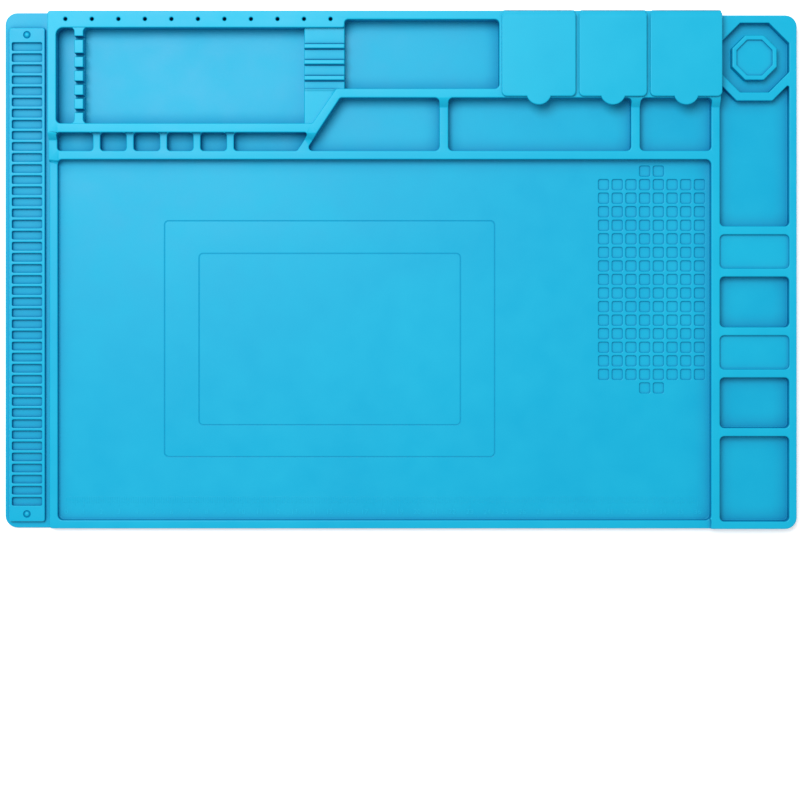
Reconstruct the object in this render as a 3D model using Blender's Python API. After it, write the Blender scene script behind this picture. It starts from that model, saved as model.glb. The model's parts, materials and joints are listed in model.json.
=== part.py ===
"""Parts sorting tray: a soft silicone bench mat with moulded trays and three hinged lids.

Metres, +Z up. X runs along the mat from the slotted rail (left) to the side trays (right),
Y runs from the worker's edge (front) to the tool trays (rear). The origin is the middle of
the underside. The real mat is one moulding; it is built here section by section, each
section a solid of its own, a thin gap from its neighbours.
"""

import math

import bmesh
import bpy
from mathutils import Matrix, Vector

# ---------------------------------------------------------------- overall sizes
MAT_WIDTH = 0.4500
MAT_DEPTH = 0.2934
GAP = 0.0003
ARC_STEPS = 3

# ---------------------------------------------------------------- levels above the bench
FLOOR = 0.0022
WORK_RIM = 0.0056
TRAY_RIM = 0.0080
TOOL_RIM = 0.0118
SHOULDER = 0.0045

# ---------------------------------------------------------------- slotted rail, left edge
STRIP_WIDTH = 0.0258
STRIP_CORNER = 0.0069
RAIL_INSET = 0.0026
RAIL_GUTTER = 0.0028
RAIL_TOP = 0.0046
RAIL_REAR_INSET = 0.0087
RAIL_FRONT_INSET = 0.0038
RAIL_CORNER = 0.0012
SLOT_PITCH = 0.00631
SLOT_WIDTH = 0.0047
SLOT_SIDE = 0.0017
SLOT_FLOOR = 0.0024
SLOT_FIRST = 0.0107
NUB_RADIUS = 0.0020
NUB_RISE = 0.0005
NUB_REAR_INSET = 0.0040
NUB_FRONT_INSET = 0.0043

# ---------------------------------------------------------------- tool trays, rear
RIM = 0.0049
WALL = 0.0051
BIT_RAIL_DEPTH = 0.0095
BIT_PITCH = 0.01498
BIT_FIRST = 0.0102
BIT_HOLE_RADIUS = 0.0010
BIT_HOLE_DEPTH = 0.0070
BIT_SINK_RADIUS = 0.0017
BIT_SINK_DEPTH = 0.0007
BIT_REAR_INSET = 0.0047
BLOCK_CORNER = 0.0020
BIG_TRAY_LENGTH = 0.1401
BIG_TRAY_DEPTH = 0.0541
POCKET_CORNER = 0.0025
COMB_INSET = 0.0102
COMB_WIDTH = 0.0051
COMB_DROP = 0.0005
COMB_NOTCH = 0.0021
COMB_NOTCH_DEPTH = 0.0060
COMB_NOTCH_FIRST = 0.0058
COMB_NOTCH_SECOND = 0.0154
COMB_NOTCH_PITCH = 0.0079
REST_WIDTH = 0.0229
REST_LEVEL = 0.0089
PLATEAU_LEVEL = 0.0103
RIDGE_LEVEL = 0.0111
RIDGE_WIDTH = 0.0022
RIDGE_FIRST = 0.0104
RIDGE_PITCH = 0.0090
RIDGE_COUNT = 3
SLANT_REAR_INSET = 0.0025
SLANT_FRONT_INSET = 0.0075
SLANT_WIDTH = 0.0062
REAR_RIM = 0.0049
SMALL_TRAY_DEPTH = 0.0391

# ---------------------------------------------------------------- lidded compartments
COMPARTMENT_WIDTHS = (0.0360, 0.0350, 0.0341)
LID_THICKNESS = 0.0022
LID_LEFT_COVER = 0.0041
LID_RIGHT_COVER = 0.0049
LID_GAP = 0.0018
LID_FRONT_COVER = 0.0045
LID_CORNER = 0.0025
LID_REAR_CORNER = 0.0008
TAB_RADIUS = 0.0072
TAB_REACH = 0.0048
PLUG_CLEARANCE = 0.0008
PLUG_DEPTH = 0.0035
PLUG_CORNER = 0.0025
PLUG_NOTCH_RADIUS = 0.0011
PLUG_NOTCH_PLACE = 0.0310
WEB_THICKNESS = 0.0010
WEB_RISE = 0.0004
WEB_SEAT = 0.0012
WEB_INSET = 0.0020

# ---------------------------------------------------------------- middle row of trays
ROW_RIM = 0.0049
ROW_SLANT_WIDTH = 0.0050
SLIM_POCKET_DEPTH = 0.01015
SLIM_WALL = 0.0042
SLIM_PITCH = 0.01894
SLIM_FIRST = 0.0272
SLIM_WALL_COUNT = 5
PARTS_TRAY_1_REACH = 0.0561
PARTS_TRAY_3_WIDTH = 0.0404

# ---------------------------------------------------------------- work area and its screw grid
WORK_RIM_WIDTH = 0.0047
GRID_COLUMNS = 8
GRID_ROWS = 15
GRID_PITCH_X = 0.00782
GRID_PITCH_Y = 0.00773
GRID_CELL = 0.0060
GRID_CELL_DEPTH = 0.0009
GRID_MARGIN = 0.0010
GRID_RIGHT_INSET = 0.00135
GRID_REAR_INSET = 0.00205
GRID_EXTRA_COLUMNS = (3, 4)

# ---------------------------------------------------------------- side column, right edge
COLUMN_WIDTH = 0.0485
COLUMN_WALL = 0.0049
TOOL_OVERHANG = 0.0005
COLUMN_RIM = 0.0043
COLUMN_REAR_INSET = 0.0021
COLUMN_CORNER = 0.0065
COLUMN_DIVIDER = 0.0047
OCTAGON_BAND = 0.0048
POST_ACROSS = 0.0253
POST_DISH_ACROSS = 0.0202
POST_DISH_DEPTH = 0.0008
LAST_TRAY_DEPTH = 0.0483
SIDE_TRAY_DEPTH = 0.0286
MAGNET_TRAY_DEPTH = 0.0192
MAGNET_TRAY_FLOOR = 0.0060
MAGNET_LENGTH = 0.0330
MAGNET_WIDTH = 0.0140
MAGNET_THICKNESS = 0.0025
MAGNET_LIFT = 0.0004

# ---------------------------------------------------------------- places worked out from the sizes
LEFT = -MAT_WIDTH / 2
RIGHT = MAT_WIDTH / 2
REAR = MAT_DEPTH / 2
FRONT = -MAT_DEPTH / 2
CUT_OVER = 0.002

BLOCK_LEFT = LEFT + STRIP_WIDTH
TRAY_LEFT = BLOCK_LEFT + RIM
REST_LEFT = TRAY_LEFT + BIG_TRAY_LENGTH
REST_RIGHT = REST_LEFT + REST_WIDTH
COLUMN_LEFT = RIGHT - COLUMN_WIDTH
TOOL_RIGHT = COLUMN_LEFT + COLUMN_WALL + TOOL_OVERHANG

BIG_TRAY_REAR = REAR - BIT_RAIL_DEPTH
BIG_TRAY_FRONT = BIG_TRAY_REAR - BIG_TRAY_DEPTH
BIG_WALL_FRONT = BIG_TRAY_FRONT - WALL
SMALL_TRAY_REAR = REAR - REAR_RIM
SMALL_TRAY_FRONT = SMALL_TRAY_REAR - SMALL_TRAY_DEPTH
SMALL_WALL_FRONT = SMALL_TRAY_FRONT - WALL
ROW_FRONT_WALL = BIG_WALL_FRONT - SLIM_POCKET_DEPTH
WORK_REAR = ROW_FRONT_WALL - ROW_RIM

COMPARTMENTS = []
edge = TOOL_RIGHT - WALL
for width in reversed(COMPARTMENT_WIDTHS):
    COMPARTMENTS.insert(0, (edge - width, edge))
    edge -= width + WALL
SMALL_TRAY_RIGHT = edge

HINGE_Y = REAR - WEB_THICKNESS / 2
LID_BASE = TOOL_RIM + GAP
LID_TOP = LID_BASE + LID_THICKNESS
HINGE_Z = (LID_BASE + LID_TOP) / 2
LID_REAR = REAR - WEB_THICKNESS - GAP
LID_FRONT = SMALL_TRAY_FRONT - LID_FRONT_COVER

COLUMN_REAR = REAR - COLUMN_REAR_INSET
COLUMN_TRAY_LEFT = COLUMN_LEFT + COLUMN_WALL
COLUMN_TRAY_RIGHT = RIGHT - COLUMN_RIM
OCTAGON_X = (COLUMN_TRAY_LEFT + COLUMN_TRAY_RIGHT) / 2
OCTAGON_HALF = (COLUMN_TRAY_RIGHT - COLUMN_TRAY_LEFT) / 2
OCTAGON_Y = COLUMN_REAR - COLUMN_RIM - OCTAGON_HALF
BAND_HALF = OCTAGON_HALF + OCTAGON_BAND

SILICONE = (0.045, 0.445, 0.760)
SILICONE_LIGHT = (0.075, 0.500, 0.790)
MAGNET_GREY = (0.050, 0.050, 0.055)


# ---------------------------------------------------------------- shape helpers
def wipe_scene():
    for obj in list(bpy.data.objects):
        bpy.data.objects.remove(obj, do_unlink=True)


def finish(name, colour, roughness, metallic=0.0):
    made = bpy.data.materials.new(name)
    made.use_nodes = True
    shader = made.node_tree.nodes["Principled BSDF"]
    shader.inputs["Base Color"].default_value = (*colour, 1.0)
    shader.inputs["Roughness"].default_value = roughness
    shader.inputs["Metallic"].default_value = metallic
    return made


def rounded(corners, steps=ARC_STEPS):
    """The outline through (x, y, radius) corners, with an arc where the radius isn't zero."""
    outline = []
    for index, (x, y, radius) in enumerate(corners):
        here = Vector((x, y))
        if radius == 0:
            outline.append(here)
            continue
        back = (Vector(corners[index - 1][:2]) - here).normalized()
        ahead = (Vector(corners[(index + 1) % len(corners)][:2]) - here).normalized()
        half_angle = back.angle(ahead) / 2
        centre = here + (back + ahead).normalized() * radius / math.sin(half_angle)
        start = here + back * radius / math.tan(half_angle) - centre
        end = here + ahead * radius / math.tan(half_angle) - centre
        sweep = start.angle_signed(end)
        for step in range(steps + 1):
            turn = Matrix.Rotation(-sweep * step / steps, 2)
            outline.append(centre + turn @ start)
    return outline


def rectangle(left, right, front, rear, radii=(0, 0, 0, 0)):
    """A rectangle; radii run front left, front right, rear right, rear left."""
    places = ((left, front), (right, front), (right, rear), (left, rear))
    return rounded([(x, y, radius) for (x, y), radius in zip(places, radii)])


def regular(sides, across, x, y, turn=0.5):
    """A regular polygon of this width across its flats, its flats square to the axes."""
    reach = across / 2 / math.cos(math.pi / sides)
    angles = [2 * math.pi * (index + turn) / sides for index in range(sides)]
    return [Vector((x + reach * math.cos(angle), y + reach * math.sin(angle))) for angle in angles]


def add_prism(mesh, outline, low, high):
    area = sum(a.x * b.y - b.x * a.y for a, b in zip(outline, outline[1:] + outline[:1]))
    ring = outline if area > 0 else outline[::-1]
    bottom = [mesh.verts.new((point.x, point.y, low)) for point in ring]
    top = [mesh.verts.new((point.x, point.y, high)) for point in ring]
    mesh.faces.new(bottom[::-1])
    mesh.faces.new(top)
    count = len(ring)
    for index in range(count):
        after = (index + 1) % count
        mesh.faces.new((bottom[index], bottom[after], top[after], top[index]))


def object_from(name, prisms):
    built = bmesh.new()
    for outline, low, high in prisms:
        add_prism(built, outline, low, high)
    data = bpy.data.meshes.new(name)
    built.to_mesh(data)
    built.free()
    obj = bpy.data.objects.new(name, data)
    bpy.context.scene.collection.objects.link(obj)
    return obj


def piece(name, outline, low, high, look):
    obj = object_from(name, [(outline, low, high)])
    obj.data.materials.append(look)
    return obj


def boolean(obj, prisms, operation):
    tool = object_from(f"{obj.name}_{operation.lower()}_{len(obj.modifiers)}", prisms)
    tool.hide_render = True
    tool.display_type = "WIRE"
    step = obj.modifiers.new(operation.title(), "BOOLEAN")
    step.operation = operation
    step.solver = "EXACT"
    step.object = tool


def cut(obj, prisms):
    boolean(obj, prisms, "DIFFERENCE")


def add(obj, prisms):
    boolean(obj, prisms, "UNION")


def pocket(outline, floor=FLOOR):
    return outline, floor, TOOL_RIM + CUT_OVER


def lower(obj, left, right, front, rear):
    """Brings this stretch down from the tool rim's height to the tray rim's.

    What stays high is the shoulder of each low wall, where it meets a high one.
    """
    cut(obj, [(rectangle(left, right, front, rear), TRAY_RIM, TOOL_RIM + CUT_OVER)])


# ---------------------------------------------------------------- slotted rail
def slot_rail(look):
    right = BLOCK_LEFT - GAP
    corners = (STRIP_CORNER, 0, 0, STRIP_CORNER)
    strip = piece("slot_rail", rectangle(LEFT, right, FRONT, REAR, corners), 0, FLOOR, look)
    rail_left = LEFT + RAIL_INSET
    rail_right = BLOCK_LEFT - RAIL_GUTTER
    rail_rear = REAR - RAIL_REAR_INSET
    rail_front = FRONT + RAIL_FRONT_INSET
    rail = rectangle(rail_left, rail_right, rail_front, rail_rear, (RAIL_CORNER,) * 4)
    add(strip, [(rail, FLOOR / 2, RAIL_TOP)])
    usable = rail_rear - rail_front - SLOT_FIRST - NUB_FRONT_INSET * 2
    count = int(usable / SLOT_PITCH) + 1
    slots = []
    for index in range(count):
        middle = rail_rear - SLOT_FIRST - index * SLOT_PITCH
        ends = (middle - SLOT_WIDTH / 2, middle + SLOT_WIDTH / 2)
        slot = rectangle(rail_left + SLOT_SIDE, rail_right - SLOT_SIDE, *ends)
        slots.append((slot, SLOT_FLOOR, RAIL_TOP + CUT_OVER))
    cut(strip, slots)
    nub_x = (rail_left + rail_right) / 2
    nubs = []
    for nub_y in (rail_rear - NUB_REAR_INSET, rail_front + NUB_FRONT_INSET):
        nubs.append((regular(12, 2 * NUB_RADIUS, nub_x, nub_y), FLOOR, RAIL_TOP + NUB_RISE))
    add(strip, nubs)


# ---------------------------------------------------------------- tool zone
def bit_rail(look):
    outline = rectangle(
        BLOCK_LEFT, REST_RIGHT, BIG_TRAY_REAR, REAR, (0, 0, 0, BLOCK_CORNER)
    )
    rail = piece("bit_rail", outline, 0, TOOL_RIM, look)
    count = int((REST_RIGHT - BLOCK_LEFT - BIT_FIRST - BIT_SINK_RADIUS) / BIT_PITCH) + 1
    holes = []
    sinks = []
    for index in range(count):
        x = BLOCK_LEFT + BIT_FIRST + index * BIT_PITCH
        y = REAR - BIT_REAR_INSET
        over = TOOL_RIM + CUT_OVER
        holes.append((regular(10, 2 * BIT_HOLE_RADIUS, x, y), TOOL_RIM - BIT_HOLE_DEPTH, over))
        sinks.append((regular(10, 2 * BIT_SINK_RADIUS, x, y), TOOL_RIM - BIT_SINK_DEPTH, over))
    cut(rail, holes)
    cut(rail, sinks)


def big_tool_tray(look):
    rear = BIG_TRAY_REAR - GAP
    outline = rectangle(BLOCK_LEFT, REST_LEFT - GAP, BIG_WALL_FRONT, rear)
    tray = piece("big_tool_tray", outline, 0, TOOL_RIM, look)
    hollow = rectangle(
        TRAY_LEFT,
        REST_LEFT + CUT_OVER,
        BIG_TRAY_FRONT,
        REAR,
        (POCKET_CORNER, 0, 0, 0),
    )
    cut(tray, [pocket(hollow)])


def blade_comb(look):
    left = TRAY_LEFT + COMB_INSET
    right = left + COMB_WIDTH
    rear = BIG_TRAY_REAR - GAP
    outline = rectangle(left, right, BIG_TRAY_FRONT + GAP, rear)
    top = TOOL_RIM - COMB_DROP
    comb = piece("blade_comb", outline, FLOOR + GAP, top, look)
    places = [COMB_NOTCH_FIRST]
    place = COMB_NOTCH_SECOND
    while place + COMB_NOTCH < BIG_TRAY_DEPTH:
        places.append(place)
        place += COMB_NOTCH_PITCH
    notches = []
    for place in places:
        middle = BIG_TRAY_REAR - place
        notch = rectangle(
            left - CUT_OVER, right + CUT_OVER, middle - COMB_NOTCH / 2, middle + COMB_NOTCH / 2
        )
        notches.append((notch, top - COMB_NOTCH_DEPTH, top + CUT_OVER))
    cut(comb, notches)


def slant_x(y):
    """X of the slanted wall's right face, which runs on to the front of the middle row."""
    rear_x = REST_RIGHT - SLANT_REAR_INSET
    front_x = REST_LEFT + SLANT_FRONT_INSET
    slope = (rear_x - front_x) / (SMALL_WALL_FRONT - BIG_WALL_FRONT)
    return rear_x - slope * (SMALL_WALL_FRONT - y)


def ridged_rest(look):
    """The tool rest between the two tool trays, and the slanted wall in front of it."""
    rear = BIG_TRAY_REAR - GAP
    outline = [
        Vector((REST_LEFT, rear)),
        Vector((REST_LEFT, BIG_WALL_FRONT)),
        Vector((slant_x(BIG_WALL_FRONT), BIG_WALL_FRONT)),
        Vector((slant_x(SMALL_WALL_FRONT), SMALL_WALL_FRONT)),
        Vector((REST_RIGHT, SMALL_WALL_FRONT)),
        Vector((REST_RIGHT, rear)),
    ]
    rest = piece("ridged_rest", outline, 0, TOOL_RIM, look)
    slant_left = slant_x(BIG_TRAY_FRONT) - SLANT_WIDTH
    slant_right = slant_x(SMALL_TRAY_FRONT) - SLANT_WIDTH
    lowered = [
        Vector((REST_LEFT - CUT_OVER, REAR)),
        Vector((REST_LEFT - CUT_OVER, BIG_TRAY_FRONT)),
        Vector((max(slant_left, REST_LEFT), BIG_TRAY_FRONT)),
        Vector((min(slant_right, REST_RIGHT), SMALL_TRAY_FRONT)),
        Vector((REST_RIGHT + CUT_OVER, SMALL_TRAY_FRONT)),
        Vector((REST_RIGHT + CUT_OVER, REAR)),
    ]
    cut(rest, [pocket(lowered, PLATEAU_LEVEL)])
    channel = rectangle(REST_LEFT - CUT_OVER, REST_RIGHT + CUT_OVER, SMALL_TRAY_FRONT, REAR)
    cut(rest, [pocket(channel, REST_LEVEL)])
    ridges = []
    for index in range(RIDGE_COUNT):
        middle = BIG_TRAY_REAR - RIDGE_FIRST - index * RIDGE_PITCH
        ridge = rectangle(
            REST_LEFT + GAP,
            REST_RIGHT - GAP,
            middle - RIDGE_WIDTH / 2,
            middle + RIDGE_WIDTH / 2,
        )
        ridges.append((ridge, FLOOR, RIDGE_LEVEL))
    add(rest, ridges)


def small_tool_tray(look):
    left = REST_RIGHT + GAP
    right = SMALL_TRAY_RIGHT + WALL / 2 - GAP / 2
    outline = rectangle(left, right, SMALL_WALL_FRONT, REAR)
    tray = piece("small_tool_tray", outline, 0, TOOL_RIM, look)
    hollow = rectangle(
        left - CUT_OVER,
        SMALL_TRAY_RIGHT,
        SMALL_TRAY_FRONT,
        SMALL_TRAY_REAR,
        (0, POCKET_CORNER, POCKET_CORNER, 0),
    )
    cut(tray, [pocket(hollow)])


def lid_span(index):
    """Left and right edges of a lid: it covers the outer walls and half of each divider."""
    left, right = COMPARTMENTS[index]
    last = len(COMPARTMENTS) - 1
    left -= LID_LEFT_COVER if index == 0 else WALL / 2 - LID_GAP / 2
    right += LID_RIGHT_COVER if index == last else WALL / 2 - LID_GAP / 2
    return left, right


def compartment(index, look):
    left, right = COMPARTMENTS[index]
    last = len(COMPARTMENTS) - 1
    outer_left = left - WALL / 2 + GAP / 2
    outer_right = TOOL_RIGHT if index == last else right + WALL / 2 - GAP / 2
    outline = rectangle(outer_left, outer_right, SMALL_WALL_FRONT, REAR)
    box = piece(f"compartment_{index + 1}", outline, 0, TOOL_RIM, look)
    corners = (POCKET_CORNER,) * 4
    cut(box, [pocket(rectangle(left, right, SMALL_TRAY_FRONT, SMALL_TRAY_REAR, corners))])
    lid_left, lid_right = lid_span(index)
    seat = rectangle(
        max(lid_left + WEB_INSET - GAP, outer_left - CUT_OVER),
        lid_right - WEB_INSET + GAP,
        REAR - WEB_THICKNESS - GAP,
        REAR + CUT_OVER,
    )
    cut(box, [pocket(seat, TOOL_RIM - WEB_SEAT - GAP)])


def lid_outline(left, right):
    """The lid's plate, with its round pull tab at the front."""
    middle = (left + right) / 2
    centre_y = LID_FRONT - TAB_REACH + TAB_RADIUS
    half_angle = math.acos((centre_y - LID_FRONT) / TAB_RADIUS)
    outline = rounded([(right, LID_REAR, LID_REAR_CORNER), (left, LID_REAR, LID_REAR_CORNER),
                       (left, LID_FRONT, LID_CORNER), (middle, LID_FRONT, 0),
                       (right, LID_FRONT, LID_CORNER)])
    tab_place = 3 * (ARC_STEPS + 1)
    steps = 4 * ARC_STEPS
    tab = []
    for step in range(steps + 1):
        angle = -math.pi / 2 - half_angle + 2 * half_angle * step / steps
        x = middle + TAB_RADIUS * math.cos(angle)
        tab.append(Vector((x, centre_y + TAB_RADIUS * math.sin(angle))))
    outline[tab_place:tab_place + 1] = tab
    return outline


def lid(index, look):
    left, right = COMPARTMENTS[index]
    lid_left, lid_right = lid_span(index)
    plate = piece(f"lid_{index + 1}", lid_outline(lid_left, lid_right), LID_BASE, LID_TOP, look)
    plug_left = left + PLUG_CLEARANCE
    plug_right = right - PLUG_CLEARANCE
    plug = rectangle(
        plug_left,
        plug_right,
        SMALL_TRAY_FRONT + PLUG_CLEARANCE,
        SMALL_TRAY_REAR - PLUG_CLEARANCE,
        (PLUG_CORNER,) * 4,
    )
    add(plate, [(plug, LID_BASE - PLUG_DEPTH, HINGE_Z)])
    notch_y = HINGE_Y - PLUG_NOTCH_PLACE
    notches = []
    for notch_x in (plug_left, plug_right):
        notch = regular(8, 2 * PLUG_NOTCH_RADIUS, notch_x, notch_y)
        notches.append((notch, LID_BASE - PLUG_DEPTH - CUT_OVER, LID_BASE + GAP))
    cut(plate, notches)
    hinge = Vector(((lid_left + lid_right) / 2, HINGE_Y, HINGE_Z))
    plate.data.transform(Matrix.Translation(-hinge))
    plate.location = hinge


def hinge_web(index, look):
    """The thin silicone web at the rear edge that a lid bends about."""
    lid_left, lid_right = lid_span(index)
    outer_left = COMPARTMENTS[index][0] - WALL / 2 + GAP / 2
    left = max(lid_left + WEB_INSET, outer_left)
    outline = rectangle(left, lid_right - WEB_INSET, REAR - WEB_THICKNESS, REAR)
    piece(f"hinge_web_{index + 1}", outline, TOOL_RIM - WEB_SEAT, HINGE_Z + WEB_RISE, look)


# ---------------------------------------------------------------- middle row
def slim_pockets(look):
    """The row of slim pockets in front of the big tool tray."""
    rear = BIG_WALL_FRONT - GAP
    slant_gap = ROW_SLANT_WIDTH + GAP
    front_x = slant_x(ROW_FRONT_WALL) - slant_gap
    outline = [
        Vector((BLOCK_LEFT, WORK_REAR)),
        Vector((front_x, WORK_REAR)),
        Vector((front_x, ROW_FRONT_WALL)),
        Vector((slant_x(rear) - slant_gap, rear)),
        Vector((BLOCK_LEFT, rear)),
    ]
    row = piece("slim_pockets", outline, 0, TOOL_RIM, look)
    left = BLOCK_LEFT - CUT_OVER
    right = REST_RIGHT
    lower(row, left, right, WORK_REAR - CUT_OVER, BIG_WALL_FRONT - SHOULDER)
    lower(row, TRAY_LEFT + CUT_OVER, right, WORK_REAR - CUT_OVER, rear + CUT_OVER)
    corners = (POCKET_CORNER, POCKET_CORNER, 0, 0)
    hollows = []
    left = TRAY_LEFT
    for index in range(SLIM_WALL_COUNT):
        middle = BLOCK_LEFT + SLIM_FIRST + index * SLIM_PITCH
        right = middle - SLIM_WALL / 2
        hollows.append(pocket(rectangle(left, right, ROW_FRONT_WALL, BIG_TRAY_FRONT, corners)))
        left = middle + SLIM_WALL / 2
    corners = (POCKET_CORNER, 0, 0, 0)
    over = slant_x(rear)
    hollows.append(pocket(rectangle(left, over, ROW_FRONT_WALL, BIG_TRAY_FRONT, corners)))
    cut(row, hollows)


def row_dividers():
    """X of the middle of each divider between the three parts trays."""
    first = REST_RIGHT - SLANT_REAR_INSET + PARTS_TRAY_1_REACH + WALL / 2
    second = COLUMN_LEFT - PARTS_TRAY_3_WIDTH - WALL / 2
    return first, second


def parts_tray_1(look):
    """The parts tray with a slanted left end."""
    rear = SMALL_WALL_FRONT - GAP
    step_y = BIG_WALL_FRONT - GAP
    divider = row_dividers()[0]
    right = divider - GAP / 2
    front_x = slant_x(ROW_FRONT_WALL) - ROW_SLANT_WIDTH
    outline = [
        Vector((front_x, WORK_REAR)),
        Vector((right, WORK_REAR)),
        Vector((right, rear)),
        Vector((slant_x(rear) + GAP, rear)),
        Vector((slant_x(step_y) + GAP, step_y)),
        Vector((slant_x(step_y) - ROW_SLANT_WIDTH, step_y)),
        Vector((front_x, ROW_FRONT_WALL)),
    ]
    tray = piece("parts_tray_1", outline, 0, TOOL_RIM, look)
    over = right + CUT_OVER
    inside = divider - WALL / 2 - CUT_OVER
    front = WORK_REAR - CUT_OVER
    lower(tray, front_x - CUT_OVER, over, front, BIG_WALL_FRONT - SHOULDER)
    lower(tray, inside, over, front, SMALL_WALL_FRONT - SHOULDER)
    hollow = rounded([
        (slant_x(ROW_FRONT_WALL), ROW_FRONT_WALL, POCKET_CORNER),
        (divider - WALL / 2, ROW_FRONT_WALL, POCKET_CORNER),
        (divider - WALL / 2, SMALL_TRAY_FRONT, 0),
        (slant_x(SMALL_TRAY_FRONT), SMALL_TRAY_FRONT, 0),
    ])
    cut(tray, [pocket(hollow)])


def parts_tray_2(look):
    rear = SMALL_WALL_FRONT - GAP
    divider_left, divider_right = row_dividers()
    left = divider_left + GAP / 2
    right = divider_right - GAP / 2
    tray = piece("parts_tray_2", rectangle(left, right, WORK_REAR, rear), 0, TOOL_RIM, look)
    front = WORK_REAR - CUT_OVER
    lower(tray, left - CUT_OVER, right + CUT_OVER, front, SMALL_WALL_FRONT - SHOULDER)
    inner_left = divider_left + WALL / 2
    inner_right = divider_right - WALL / 2
    corners = (POCKET_CORNER, POCKET_CORNER, 0, 0)
    hollow = rectangle(inner_left, inner_right, ROW_FRONT_WALL, SMALL_TRAY_FRONT, corners)
    cut(tray, [pocket(hollow)])


def parts_tray_3(look):
    rear = SMALL_WALL_FRONT - GAP
    divider = row_dividers()[1]
    left = divider + GAP / 2
    right = COLUMN_LEFT - GAP
    tray = piece("parts_tray_3", rectangle(left, right, WORK_REAR, rear), 0, TOOL_RIM, look)
    over = right + CUT_OVER
    lower(tray, left - CUT_OVER, over, WORK_REAR - CUT_OVER, SMALL_WALL_FRONT - SHOULDER)
    inner_left = divider + WALL / 2
    corners = (POCKET_CORNER, 0, 0, 0)
    cut(tray, [pocket(rectangle(inner_left, over, ROW_FRONT_WALL, SMALL_TRAY_FRONT, corners))])


# ---------------------------------------------------------------- work area
def grid_box():
    """Edges of the screw grid's panel: left, right, front, rear."""
    right = COLUMN_LEFT - GAP - GRID_RIGHT_INSET
    rear = WORK_REAR - GAP - GRID_REAR_INSET
    width = (GRID_COLUMNS - 1) * GRID_PITCH_X + GRID_CELL + 2 * GRID_MARGIN
    depth = (GRID_ROWS + 1) * GRID_PITCH_Y + GRID_CELL + 2 * GRID_MARGIN
    return right - width, right, rear - depth, rear


def work_surface(look):
    rear = WORK_REAR - GAP
    right = COLUMN_LEFT - GAP
    outline = rectangle(BLOCK_LEFT, right, FRONT, rear)
    surface = piece("work_surface", outline, 0, WORK_RIM, look)
    corners = (POCKET_CORNER, 0, 0, 0)
    hollow = rectangle(
        BLOCK_LEFT + WORK_RIM_WIDTH,
        right + CUT_OVER,
        FRONT + WORK_RIM_WIDTH,
        rear + CUT_OVER,
        corners,
    )
    cut(surface, [pocket(hollow)])
    left_edge, right_edge, front_edge, rear_edge = grid_box()
    window = rectangle(left_edge - GAP, right_edge + GAP, front_edge - GAP, rear_edge + GAP)
    cut(surface, [(window, -CUT_OVER, FLOOR + CUT_OVER)])


def screw_grid(look):
    """The panel of small square recesses that keep screws in order."""
    left, right, front, rear = grid_box()
    panel = piece("screw_grid", rectangle(left, right, front, rear), 0, FLOOR, look)
    cells = []
    for row in range(GRID_ROWS + 2):
        end_row = row in (0, GRID_ROWS + 1)
        columns = GRID_EXTRA_COLUMNS if end_row else range(GRID_COLUMNS)
        cell_rear = rear - GRID_MARGIN - row * GRID_PITCH_Y
        for column in columns:
            cell_left = left + GRID_MARGIN + column * GRID_PITCH_X
            cell = rectangle(cell_left, cell_left + GRID_CELL, cell_rear - GRID_CELL, cell_rear)
            cells.append((cell, FLOOR - GRID_CELL_DEPTH, FLOOR + CUT_OVER))
    cut(panel, cells)


# ---------------------------------------------------------------- side column
def octagon_tray(look):
    """The octagonal well at the rear of the side column."""
    left = TOOL_RIGHT + GAP
    diagonal = BAND_HALF * math.sqrt(2)
    left_y = OCTAGON_Y - (diagonal - (OCTAGON_X - left))
    right_y = OCTAGON_Y - (diagonal - (COLUMN_TRAY_RIGHT - OCTAGON_X))
    flat = diagonal - BAND_HALF
    outline = rounded([
        (left, COLUMN_REAR, 0),
        (left, left_y, 0),
        (OCTAGON_X - flat, OCTAGON_Y - BAND_HALF, 0),
        (OCTAGON_X + flat, OCTAGON_Y - BAND_HALF, 0),
        (COLUMN_TRAY_RIGHT, right_y, 0),
        (RIGHT, right_y, 0),
        (RIGHT, COLUMN_REAR, COLUMN_CORNER),
    ])
    tray = piece("octagon_tray", outline, 0, TRAY_RIM, look)
    cut(tray, [pocket(regular(8, 2 * OCTAGON_HALF, OCTAGON_X, OCTAGON_Y))])


def octagon_post(look):
    outline = regular(8, POST_ACROSS, OCTAGON_X, OCTAGON_Y)
    post = piece("octagon_post", outline, FLOOR + GAP, TRAY_RIM, look)
    cut(post, [pocket(regular(8, POST_DISH_ACROSS, OCTAGON_X, OCTAGON_Y),
                      TRAY_RIM - POST_DISH_DEPTH)])


def side_tray_edges():
    """(name, front, rear) of each hollow of the side column, from the front edge backwards."""
    depths = (
        ("side_tray_3", LAST_TRAY_DEPTH),
        ("side_tray_2", SIDE_TRAY_DEPTH),
        ("magnet_tray_2", MAGNET_TRAY_DEPTH),
        ("side_tray_1", SIDE_TRAY_DEPTH),
        ("magnet_tray_1", MAGNET_TRAY_DEPTH),
    )
    edges = []
    front = FRONT + COLUMN_RIM
    for name, depth in depths:
        edges.append((name, front, front + depth))
        front += depth + COLUMN_DIVIDER
    return edges


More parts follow.
